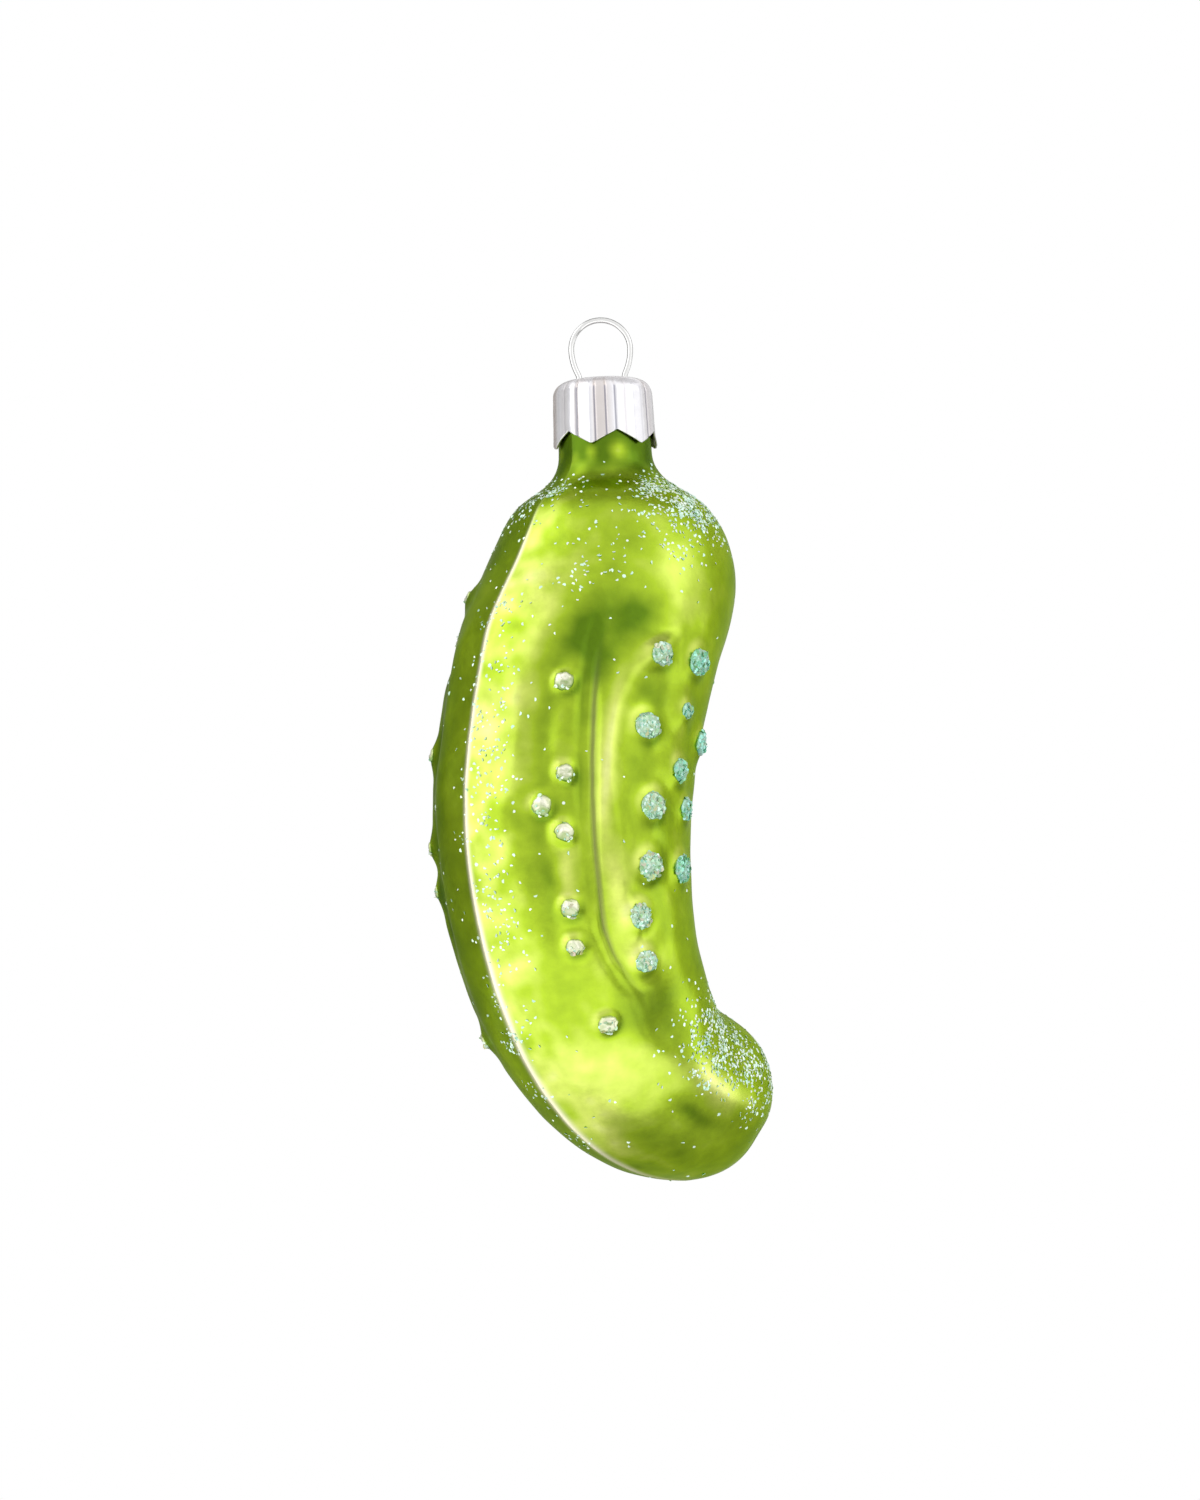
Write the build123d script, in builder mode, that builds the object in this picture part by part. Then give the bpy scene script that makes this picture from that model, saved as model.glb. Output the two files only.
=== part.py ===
from build123d import *
from collections import namedtuple
from math import acos, cos, degrees, exp, pi, prod, radians, sin
import os

# Hanging glass pickle: a blown glass body, a crown cap, a sprung wire hanger and dabs of glitter.
# Millimetres and degrees. Z runs up the neck, the hanger's loop lies in the XZ plane, and the
# origin is the inside top of that loop, where a hook bears. The front faces -Y.

# Wire hanger
WIRE_D = 0.65
LOOP_INNER_W = 6.2  # inside width of the loop at its widest
CHEEK_R = 6.4  # radius of the loop's sides, where they draw in below the widest point
CHEEK_SWEEP = 26  # how far the sides draw in
STEM_BEND_R = 1.5  # bend back to vertical above the cap
STEM_RISE = 0.3  # straight wire between that bend and the cap
LEG_STRAIGHT = 1.2  # straight wire below the cap, before the legs splay
LEG_BEND_R = 3.0
LEG_CLEARANCE = 0.4  # from each leg's end to the neck's bore
LEG_STOP = 0.3  # height of the leg ends over the neck's foot

# Crown cap
CAP_SHEET = 0.25
CAP_HEIGHT = 7.9  # from the top to the rim's points
CAP_SHOULDER_R = 2.0
CAP_FIT = 0.2  # gap between the neck and the skirt
HOLE_CLEARANCE = 0.12  # round the wire, in radius
TOOTH_COUNT = 6
TOOTH_DEPTH = 1.6
TOOTH_BLUNT = 0.3  # width left at each point
TOOTH_TURN = 45  # direction of the first notch, from +X
FLUTE_COUNT = 18
FLUTE_R = 0.5
FLUTE_DEPTH = 0.12
FLUTE_TOP_GAP = 0.4  # plain metal between the shoulder and the flutes

# Glass body
GLASS_WALL = 0.8
NECK_D = 10.8
NECK_FLARE = 0.15  # growth in radius at the neck's foot
NECK_SHOW = 1.7  # bare neck below the cap's points
NECK_RINGS = 4
MOULD_TURN = 46  # turn of the mould's parting plane from the loop's plane
TIP_BULGE = 1.08  # length of the rounded end over its radius
TIP_RINGS = (25, 48, 68, 82)  # where the rounded end is drawn, in degrees towards its pole
SEAM_HEIGHT = 0.45
SEAM_SPREAD = 7  # degrees over which the seam's ridge falls away
GROOVE_ANGLE = 60  # from the outer seam
GROOVE_DEPTH = 1.2
GROOVE_SPREAD = 6
RIB_OFFSET = 9  # from the groove to the rib beside it
RIB_HEIGHT = 0.5
RIB_SPREAD = 7
PLAIN_ANGLES = (0, 10, 22, 35, 95, 115, 135, 155, 170, 180)  # points of a section away from the groove
GROOVE_STEPS = (-12, -6, 0, 5, 9, 18)  # and points about the groove

# Stations down the body: shift of the middle towards the tip, drop below the neck's foot, radius,
# lean of the section towards the tip, and the shares of the seam and of the groove that show there
Station = namedtuple("Station", "shift drop radius lean seam groove")
STATIONS = [
    Station(0.1, 1.8, 6.5, 0, 0, 0),
    Station(0.3, 5.0, 10.7, -1, 0.3, 0),
    Station(0.5, 9.3, 13.4, -3, 0.8, 0),
    Station(-0.6, 14.3, 14.8, -6, 1, 0),
    Station(-4.3, 21.6, 15.3, -10, 1, 0.4),
    Station(-7.5, 30.1, 15.0, -11, 1, 1),
    Station(-9.7, 39.6, 14.9, -3, 1, 1),
    Station(-9.5, 49.5, 14.3, 8, 1, 1),
    Station(-7.4, 58.2, 13.5, 20, 1, 0.5),
    Station(-3.4, 65.7, 12.5, 34, 1, 0),
    Station(2.4, 70.9, 11.2, 56, 0.8, 0),
    Station(8.1, 72.9, 10.4, 76, 0.4, 0),
]

# Warts and the glitter dab on each
SMALL_WART_R = 1.5
LARGE_WART_R = 1.9
WART_RISE = 0.75  # how far a wart stands out of the body
DAB_THICKNESS = 0.2
DAB_EDGE = 0.2  # height of a dab's edge above the body
SKIN_STEP = 0.5  # step each way for the slope of the skin under a wart
FRONT = -1
BACK = 1

# Places of the warts in each row: drop below the neck's foot and angle from the outer seam
FRONT_OUTER = [(29, 40), (38, 46), (41, 36), (43.5, 46), (50.5, 45), (54, 44), (61.5, 49)]
FRONT_MIDDLE = [(24.5, 79), (32.5, 80), (41, 87), (47.5, 85), (52.5, 76), (57, 74)]
FRONT_INNER = [(24, 103), (29.5, 103), (32, 127), (36.5, 106), (41, 115), (48.5, 111)]
BACK_OUTER = [(17, 40), (22, 49), (35, 43), (44, 44), (48, 44), (62, 41)]
BACK_MIDDLE = [(25.5, 77), (33, 82), (40, 86), (46.5, 84), (53, 76), (58.5, 75)]
BACK_INNER = [(24.5, 104), (31, 102), (36, 119), (41.5, 108), (48, 113)]

# Rows of warts: side of the mould, wart radius and places
WART_ROWS = {
    "front_outer": (FRONT, SMALL_WART_R, FRONT_OUTER),
    "front_middle": (FRONT, LARGE_WART_R, FRONT_MIDDLE),
    "front_inner": (FRONT, LARGE_WART_R, FRONT_INNER),
    "back_outer": (BACK, SMALL_WART_R, BACK_OUTER),
    "back_middle": (BACK, LARGE_WART_R, BACK_MIDDLE),
    "back_inner": (BACK, LARGE_WART_R, BACK_INNER),
}

# Worked out from the sizes above
wire_r = WIRE_D / 2
loop_r = LOOP_INNER_W / 2 + wire_r
loop_z = wire_r - loop_r
leg_x = loop_r - (CHEEK_R + STEM_BEND_R) * (1 - cos(radians(CHEEK_SWEEP)))
stem_z = loop_z - (CHEEK_R + STEM_BEND_R) * sin(radians(CHEEK_SWEEP))
cap_top_z = stem_z - STEM_RISE
cap_rim_z = cap_top_z - CAP_HEIGHT
neck_r = NECK_D / 2
bore_r = neck_r - GLASS_WALL
neck_top_z = cap_top_z - CAP_SHOULDER_R
neck_foot_z = cap_rim_z - NECK_SHOW
cap_inner_r = neck_r + CAP_FIT
cap_outer_r = cap_inner_r + CAP_SHEET
tipward = Vector(cos(radians(MOULD_TURN)), sin(radians(MOULD_TURN)), 0)
backward = Vector(-sin(radians(MOULD_TURN)), cos(radians(MOULD_TURN)), 0)
up = Vector(0, 0, 1)
section_angles = sorted(PLAIN_ANGLES + tuple(GROOVE_ANGLE + step for step in GROOVE_STEPS))

os.makedirs("parts", exist_ok=True)


def relief(angle, seam_share, groove_share):
    """Height of the seam's ridge, the groove and its rib over a round section."""
    seam = exp(-angle / SEAM_SPREAD) + exp(-(180 - angle) / SEAM_SPREAD)
    groove = exp(-(((angle - GROOVE_ANGLE) / GROOVE_SPREAD) ** 2))
    rib = exp(-(((angle - GROOVE_ANGLE - RIB_OFFSET) / RIB_SPREAD) ** 2))
    return SEAM_HEIGHT * seam_share * seam + groove_share * (RIB_HEIGHT * rib - GROOVE_DEPTH * groove)


def station_heading(station):
    """Direction down the body, square to a station's section."""
    return tipward * sin(radians(station.lean)) - up * cos(radians(station.lean))


def station_centre(station):
    """Middle of a station's section."""
    return tipward * station.shift + up * (neck_foot_z - station.drop)


def section(station, inset):
    """One cross-section of the body, in two halves that meet at the seams."""
    heading = station_heading(station)
    plane = Plane(origin=station_centre(station), x_dir=backward.cross(heading), z_dir=heading)
    reach = [station.radius - inset + relief(a, station.seam, station.groove) for a in section_angles]
    turns = [radians(a) for a in section_angles]
    with BuildSketch(plane) as outline:
        with BuildLine():
            for side in (FRONT, BACK):
                Spline(*[(r * cos(turn), side * r * sin(turn)) for r, turn in zip(reach, turns)])
        make_face()
    return outline.sketch.face()


def neck_stations(top_z):
    """Stations down the straight neck, ending in the slight flare at its foot."""
    pitch = (top_z - neck_foot_z) / NECK_RINGS
    rings = [Station(0, pitch * i - top_z + neck_foot_z, neck_r, 0, 0, 0) for i in range(NECK_RINGS)]
    return rings + [Station(0, 0, neck_r + NECK_FLARE, 0, 0, 0)]


def body_sections(top_z, inset):
    """Sections from the neck's top to the last station, then the rounded end and its pole."""
    sections = [section(station, inset) for station in neck_stations(top_z) + STATIONS]
    last = STATIONS[-1]
    heading = station_heading(last)
    end_r = last.radius - inset
    for angle in TIP_RINGS:
        share = cos(radians(angle))
        centre = station_centre(last) + heading * (end_r * TIP_BULGE * sin(radians(angle)))
        drop = neck_foot_z - centre.Z
        ring = Station(centre.dot(tipward), drop, end_r * share, last.lean, last.seam * share, 0)
        sections.append(section(ring, 0))
    return sections + [Vertex(*(station_centre(last) + heading * (end_r * TIP_BULGE)))]


# Blank of the body, without warts or hollow
with BuildPart() as blank:
    loft(body_sections(neck_top_z, 0))

# The hollow, open at the neck
with BuildPart() as hollow:
    loft(body_sections(neck_top_z + GLASS_WALL, GLASS_WALL))


def station_at(drop):
    """Station at any drop, on a cubic through the two stations each side of it."""
    after = next(i for i, station in enumerate(STATIONS) if station.drop >= drop)
    near = STATIONS[after - 2 : after + 2]
    weights = [
        prod((drop - other.drop) / (station.drop - other.drop) for other in near if other is not station)
        for station in near
    ]
    return Station(*[sum(w * value for w, value in zip(weights, column)) for column in zip(*near)])


def skin_point(side, drop, angle):
    """Point on the body's skin at a drop and an angle from the outer seam."""
    station = station_at(drop)
    outward = backward.cross(station_heading(station))
    ray = outward * cos(radians(angle)) + backward * (side * sin(radians(angle)))
    return station_centre(station) + ray * (station.radius + relief(angle, station.seam, station.groove))


def wart_plane(side, wart_r, drop, angle):
    """Plane at a wart's centre, with its normal pointing straight out of the skin."""
    down = skin_point(side, drop + SKIN_STEP, angle) - skin_point(side, drop - SKIN_STEP, angle)
    across = skin_point(side, drop, angle + SKIN_STEP) - skin_point(side, drop, angle - SKIN_STEP)
    normal = across.cross(down).normalized() * side
    return Plane(origin=skin_point(side, drop, angle) - normal * (wart_r - WART_RISE), z_dir=normal)


warts = [
    (f"{row}_{number}", wart_r, wart_plane(side, wart_r, drop, angle))
    for row, (side, wart_r, places) in WART_ROWS.items()
    for number, (drop, angle) in enumerate(places, start=1)
]

# Balls that stand out of the glass as warts
with BuildPart() as wart_balls:
    for wart_r in (SMALL_WART_R, LARGE_WART_R):
        with Locations(*[plane.location for _, r, plane in warts if r == wart_r]):
            Sphere(wart_r)

# Glass body: the blank with its warts, hollowed from the neck
with BuildPart() as glass_body:
    add(blank.part)
    add(wart_balls.part)
    add(hollow.part, mode=Mode.SUBTRACT)
glass_body.part.label = "glass_body"
export_step(glass_body.part, "parts/glass_body.step")

# Glitter dabs: a skin over the top of each wart
for name, wart_r, plane in warts:
    dab_r = wart_r + DAB_THICKNESS
    edge = acos((wart_r - WART_RISE + DAB_EDGE) / wart_r)
    with BuildPart() as dab:
        with BuildSketch(Plane(origin=plane.origin, x_dir=plane.x_dir, z_dir=-plane.y_dir)):
            with BuildLine():
                under = CenterArc((0, 0), wart_r, 90 - degrees(edge), degrees(edge))
                over = CenterArc((0, 0), dab_r, 90 - degrees(edge), degrees(edge))
                Line(under @ 0, over @ 0)
                Line(under @ 1, over @ 1)
            make_face()
        revolve(axis=Axis(plane.origin, plane.z_dir))
    dab.part.label = f"glitter_dab_{name}"
    export_step(dab.part, f"parts/glitter_dab_{name}.step")

# Crown cap: a domed top, a fluted skirt, a zigzag rim and two holes for the wire
with BuildPart() as crown_cap:
    with BuildSketch(Plane.XZ):
        with BuildLine():
            inner_shoulder = CAP_SHOULDER_R - CAP_SHEET
            rim = Line((cap_inner_r, cap_rim_z), (cap_outer_r, cap_rim_z))
            skirt = Line(rim @ 1, (cap_outer_r, cap_top_z - CAP_SHOULDER_R))
            shoulder = JernArc(skirt @ 1, (0, 1), CAP_SHOULDER_R, 90)
            top = Line(shoulder @ 1, (0, cap_top_z))
            middle = Line(top @ 1, (0, cap_top_z - CAP_SHEET))
            under = Line(middle @ 1, (cap_inner_r - inner_shoulder, cap_top_z - CAP_SHEET))
            inside = JernArc(under @ 1, (1, 0), inner_shoulder, -90)
            Line(inside @ 1, rim @ 0)
        make_face()
    revolve(axis=Axis.Z)
    flute_top_z = cap_top_z - CAP_SHOULDER_R - FLUTE_TOP_GAP
    with Locations((0, 0, flute_top_z)):
        with PolarLocations(cap_outer_r + FLUTE_R - FLUTE_DEPTH, FLUTE_COUNT):
            Cylinder(
                FLUTE_R,
                flute_top_z - cap_rim_z,
                align=(Align.CENTER, Align.CENTER, Align.MAX),
                mode=Mode.SUBTRACT,
            )
    tooth_half = cap_outer_r * sin(pi / TOOTH_COUNT) - TOOTH_BLUNT / 2
    for number in range(TOOTH_COUNT):
        direction = radians(TOOTH_TURN + 360 / TOOTH_COUNT * number)
        facing = Vector(cos(direction), sin(direction), 0)
        with BuildSketch(Plane(origin=up * cap_rim_z, x_dir=facing.cross(up), z_dir=facing)):
            with BuildLine():
                Polyline((-tooth_half, 0), (tooth_half, 0), (0, -TOOTH_DEPTH), close=True)
            make_face()
        extrude(amount=cap_outer_r, mode=Mode.SUBTRACT)
    with Locations((leg_x, 0, cap_top_z), (-leg_x, 0, cap_top_z)):
        Hole(wire_r + HOLE_CLEARANCE, depth=CAP_SHEET)
crown_cap.part.label = "crown_cap"
export_step(crown_cap.part, "parts/crown_cap.step")

# Wire hanger: a drawn-in loop, two stems through the cap and two legs that splay in the neck
leg_end_x = bore_r - LEG_CLEARANCE - wire_r
leg_bend_z = cap_top_z - CAP_SHEET - LEG_STRAIGHT
with BuildPart() as wire_hanger:
    with BuildLine(Plane.XZ) as wire_path:
        crown = JernArc((0, loop_z + loop_r), (1, 0), loop_r, -90)
        cheek = JernArc(crown @ 1, crown % 1, CHEEK_R, -CHEEK_SWEEP)
        stem = JernArc(cheek @ 1, cheek % 1, STEM_BEND_R, CHEEK_SWEEP)
        FilletPolyline(
            (leg_x, stem_z),
            (leg_x, leg_bend_z),
            (leg_end_x, neck_foot_z + LEG_STOP),
            radius=LEG_BEND_R,
        )
        mirror(about=Plane.YZ)
    whole_wire = wire_path.wires()[0]
    with BuildSketch(Plane(origin=whole_wire @ 0, z_dir=whole_wire % 0)):
        Circle(wire_r)
    sweep(path=whole_wire)
wire_hanger.part.label = "wire_hanger"
export_step(wire_hanger.part, "parts/wire_hanger.step")
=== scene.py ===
import math
from collections import namedtuple
from functools import lru_cache

import bmesh
import bpy
import numpy as np
from bpy.props import FloatProperty, FloatVectorProperty, IntProperty, PointerProperty
from mathutils import Matrix, Vector, noise


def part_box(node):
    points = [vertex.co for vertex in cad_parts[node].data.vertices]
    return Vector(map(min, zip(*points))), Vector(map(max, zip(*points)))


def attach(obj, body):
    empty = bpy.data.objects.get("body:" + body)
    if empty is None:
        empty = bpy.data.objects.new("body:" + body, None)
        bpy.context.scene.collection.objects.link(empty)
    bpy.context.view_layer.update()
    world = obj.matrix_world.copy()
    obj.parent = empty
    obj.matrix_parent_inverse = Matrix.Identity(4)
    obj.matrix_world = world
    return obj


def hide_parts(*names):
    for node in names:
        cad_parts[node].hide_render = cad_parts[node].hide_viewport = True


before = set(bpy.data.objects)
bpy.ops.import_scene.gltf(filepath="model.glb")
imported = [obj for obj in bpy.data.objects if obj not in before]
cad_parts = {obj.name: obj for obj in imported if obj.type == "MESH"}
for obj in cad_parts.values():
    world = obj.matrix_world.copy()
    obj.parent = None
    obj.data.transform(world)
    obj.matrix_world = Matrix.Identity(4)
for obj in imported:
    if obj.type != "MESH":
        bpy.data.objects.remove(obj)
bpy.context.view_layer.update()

bl_info = {
    "name": "Hanging glass pickle",
    "version": (1, 0, 0),
    "blender": (4, 5, 0),
    "location": "3D View > Sidebar > Pickle",
    "description": "Dresses the pickle ornament in lacquered glass, crimped metal, wire and glitter",
    "category": "Object",
}

MM = 0.001
FRONT = -1
BACK = 1
STEP_LIMIT = 40  # keeps exponents within range

# Sizes that the glass shares with the solids, in millimetres and degrees.
NECK_TOP = -7.6  # as a drop below the neck's foot
NECK_FOOT_Z = -16.463
NECK_R = 5.4
NECK_FLARE = 0.15
NECK_SEAM = 0.1  # share of the seam
GLASS_WALL = 0.8
MOULD_TURN = 46
TIP_BULGE = 1.08
TIP_RINGS = (25, 48, 68, 82, 90)

# Room for the flakes on the tip: the skin is set back over a length of it, but not at the pole.
TIP_TRIM = 0.29
TIP_TRIM_LENGTH = 14
TIP_TRIM_SOFTNESS = 2
TIP_TRIM_POLE_R = 3
LEAST_REACH = 0.5  # share of the radius that is left under any form

# Stations down the body: shift towards the tip, drop below the neck's foot, radius, lean of the
# section towards the tip, and the share of the seam that shows there.
STATIONS = [
    (0.1, 1.8, 6.5, 0, 0.1),
    (0.3, 5.0, 10.7, -1, 0.3),
    (0.5, 9.3, 13.4, -3, 0.8),
    (-0.6, 14.3, 14.8, -6, 1),
    (-4.3, 21.6, 15.3, -10, 1),
    (-7.5, 30.1, 15.0, -11, 1),
    (-9.7, 39.6, 14.9, -3, 1),
    (-9.5, 49.5, 14.3, 8, 1),
    (-7.4, 58.2, 13.5, 20, 1),
    (-3.4, 65.7, 12.5, 34, 1),
    (2.4, 70.9, 11.2, 56, 0.8),
    (8.1, 72.9, 10.4, 76, 0.4),
]

# Mesh of the glass: runs of start, end and pitch round a half, in degrees, and the ends and pitches
# of the runs down the skin. The pole's run and gap are measured back from the pole.
HALF_ROUND = ((0, 3, 0.5), (3, 25, 1.5), (25, 135, 1.15), (135, 177, 2), (177, 180, 0.75))
NECK_RUN = 14
NECK_PITCH = 0.55
BODY_RUN = 80
BODY_PITCH = 0.34
TIP_PITCH = 0.45
POLE_RUN = 4
POLE_PITCH = 0.35
POLE_GAP = 0.2
INNER_RINGS = 36
LIP_RINGS = 7

# Lines on each half of the mould, by drop and by angle from the outer seam: the groove, and the
# left edge of the platform that carries the larger warts.
GROOVE_DROPS = (25, 30, 34, 39, 44, 49, 53, 56, 58.5, 60)
GROOVE_ANGLES = (53, 54.5, 56.5, 58.5, 59.5, 60, 59.5, 62, 66.5, 70)
EDGE_DROPS = (21, 23, 24, 27, 30, 35, 39, 44, 51, 57, 60)
EDGE_ANGLES = (85, 76, 71, 63.5, 60, 58.5, 60.5, 63.5, 66, 68, 74)

# Forms of the mould. A run or span is a start, an end, and the softness of each. An edge is a place
# and its softness. Runs are drops and spans are angles.
BODY_R = 14  # about, to turn an angle into a distance round the body
SEAM_SPREAD = 7
SEAM_ROUNDING = 0.5
PANEL_RUN = (23, 57, 1.6, 2.2)
PANEL_SPAN = (29, 122, 1.8, 5)
PLATFORM_RUN = (22.5, 58.5, 0.7, 0.8)
PLATFORM_SPAN = (0, 36, 1.9, 7)  # beyond its left edge, like the rib
RIB_MIDDLE = 5
RIB_WIDTH = 6
RIB_EDGE = (40, 8)
GROOVE_RUN = (27, 57.5, 1.5, 1.2)
GROOVE_WIDTH = 1.9
STREAKS = ((44, 4, 0.15), (35, 4.5, -0.16))  # angle, width and height on the panel
GROOVE_STREAK = (-5.5, 2.2, -0.20)  # the same, by angle from the groove
STREAK_SWAY = 0.5
STREAK_RATE = 0.75
STREAK_START = 0.6
WAVES = ((1, 0.13), (0.5, 0.3))  # share and scale
WAVES_EDGE = (3, 1.5)

# Soft forms blown into the glass: drop, angle, half length, half width in degrees, height, sides.
SOFT_FORMS = [
    (22.5, 56, 4.6, 13, -0.85, (FRONT, BACK)),  # hollow above the groove
    (24.5, 43, 3.2, 7, -0.40, (FRONT, BACK)),
    (19.8, 71, 2.6, 9, -0.40, (FRONT, BACK)),
    (30.7, 17.5, 2.3, 8, 0.40, (FRONT,)),  # mounds beside the seam
    (34.9, 23.0, 2.6, 6, 0.30, (FRONT,)),
    (41.6, 16.0, 2.4, 8, 0.38, (FRONT,)),
    (24.0, 16.0, 2.4, 8, 0.34, (BACK,)),
    (37.5, 18.0, 2.6, 8, 0.32, (BACK,)),
    (63.0, 78, 3.4, 26, -0.55, (FRONT, BACK)),  # crease where the tip swells again
    (70.5, 78, 3.6, 20, 0.30, (FRONT, BACK)),
    (71.2, 60, 1.8, 7, -0.22, (FRONT,)),  # dimple in the tip
    (74.2, 14, 1.6, 16, 0.14, (FRONT, BACK)),  # flat nub under the tip
    (71.6, 15, 2.6, 12, 0.28, (BACK,)),
    (75.0, 58, 2.0, 20, -0.40, (FRONT,)),
]

# Painted highlights, laid on as paler and thinner lacquer, and below zero painted shade, laid on as pooled
# lacquer: drop, angle, half length, half width in degrees, share.
THIN_PLACES = [
    (38, 5, 24, 17, 0.27),  # along the seam
    (25.0, 24, 4.0, 8, 0.14),
    (31.5, 21, 2.2, 4, 0.20),
    (18, 18, 5, 14, 0.30),  # shoulder
    (15.6, 78, 4.2, 13, 0.30),
    (15, 50, 4, 10, -0.10),
    # painted highlights on the neck below the cap's teeth
    (-0.9, 26, 0.8, 8, 0.55),
    (-0.8, 60, 0.9, 10, 0.68),
    (65.0, 42, 4.0, 24, 0.36),  # front of the tip
    (70.8, 82, 1.8, 7, 0.75),
    (26.0, 72.0, 2.6, 4.0, 0.24),
    (30.8, 63.2, 4.5, 2.7, 0.26),  # along the rib
    (38.4, 63.0, 6.0, 2.8, 0.62),
    (50, 67, 4.5, 4.0, 0.34),
    (54, 74, 3.0, 6.0, 0.20),
    (66, 16, 8.0, 10, 0.22),
    (47.2, 45.5, 2.2, 3.2, 0.42),  # between the beads
    (23.2, 44, 3.6, 8.5, -0.42),  # hollow above the groove
    (20.6, 65, 2.9, 9, -0.38),
    (26.5, 57, 2.4, 6, -0.20),
    (22.0, 54.5, 4.0, 3.0, 0.06),
    (30.5, 49, 4.6, 4.5, -0.26),  # both sides of the beads
    (37.0, 52, 4.0, 3.5, -0.20),
    (31.0, 34, 4.0, 4.5, -0.24),
    (39.0, 36, 3.6, 4.0, -0.22),
    (48.0, 37, 3.2, 4.0, -0.26),
    (29.5, 83, 4.5, 8, -0.26),  # platform
    (28.4, 74.5, 2.6, 4.5, -0.30),
    (51.2, 90, 3.0, 6, -0.26),
    (37.6, 78, 3.2, 7, -0.30),
    (44.5, 94, 5.0, 9, -0.24),
    (61.5, 62, 2.0, 18, -0.22),  # crease behind the tip
    (71.0, 61, 1.3, 5, -0.40),
    (71.8, 34, 1.6, 14, -0.24),
]

# Depth of the lacquer, with painted light and shade laid into it: from below 0, thin and with a painted
# highlight, to 1, pooled and with painted shade. Hollows darken partly as pooled lacquer and partly as
# painted shade.
USUAL_POOL = 0.42
BARE_POOL = 0.5  # below 0
CREST_SHARE = 0.2  # a crest is paled less than a hollow of that depth is darkened by pooling and painted shade
FULL_POOL_DEPTH = 2.2  # of a hollow, in millimetres
# painted shade on the neck under the cap
NECK_POOL = 0.66
NECK_POOL_EDGE = (1.8, 0.9)
# painted shade on the flank behind the outer seam
FLANK_POOL = 0.37  # behind the outer seam
FLANK_EDGE = (48, 8)
FLANK_TOP = (3, 1)
BLOTS = ((0.16, 0.26), (0.10, 0.62))  # share and scale
BLOT_GROWTH = 2.0  # along the seam in front
BLOT_SPREAD = 26
POOL_WAY = np.array([0.6, 0, -0.8])  # painted shade below and to the right of each wart, painted highlight above and to the left
POOL_UNDER_WART = 0.42
POOL_RING = 1.35  # in radii of the dab
POOL_RING_WIDTH = 0.38
LEAST_ACROSS = 0.1

# Marks on the lacquer: wear with a painted highlight along the seams, painted shade along the groove, and the
# silver inside the cap.
WEAR_RUN = (9, 73.5, 2, 0.8)
WEAR_WIDTH = 0.30
WEAR_GROWTH = 0.32
WEAR_GROWTH_EDGE = (55, 4)
INNER_SEAM_WEAR = 0.6
GROOVE_LINE = 0.7
GROOVE_LINE_WIDTH = 1.3
GROOVE_LINE_RUN = (29, 56.5, 1.5, 1.5)
SILVER_EDGE = (-4.6, 0.12)
LACQUER_MARKS = {
    "groove_line": (0.22, 0.22, 0.09),
    "seam_wear": (0.93, 0.88, 0.66),
    "bare_silver": (0.74, 0.76, 0.77),
}

# Hills under the dabs by row: rise and spread. Dabs by row: radii in order, stretch to the side,
# cover with flakes, and turn to teal.
HILLS = {"outer": (0.80, 1.05), "middle": (0.62, 1.72), "inner": (0.62, 1.70), "back_outer": (0.55, 1.5)}
DAB_RADII = {
    "outer": (1.12, 1.00, 1.16, 1.08, 1.08, 0.96, 1.12),
    "middle": (1.35, 1.50, 1.55, 1.50, 1.40, 1.25),
    "inner": (1.55, 0.90, 1.45, 1.35, 1.25, 1.55),
    "back_outer": (0.75, 0.70, 0.80, 0.70, 0.75, 0.85),
}
DAB_STRETCH = {"outer": 1.0, "middle": 1.15, "inner": 1.25, "back_outer": 1.0}
DAB_COVER = {"outer": 0.06, "middle": 1.0, "inner": 1.0, "back_outer": 0.06}
DAB_TEAL = {"outer": 0.0, "middle": 0.20, "inner": 0.56, "back_outer": 0.0}
WART_REACH = 6
MOAT_DEPTH = 0.04
MOAT_PLACE = 1.9  # in spreads of the hill
MOAT_WIDTH = 0.5
MOST_SEAT_GAP = 2
DAB_SINK = 0.06
DAB_OVERLAP = 0.05

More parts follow.
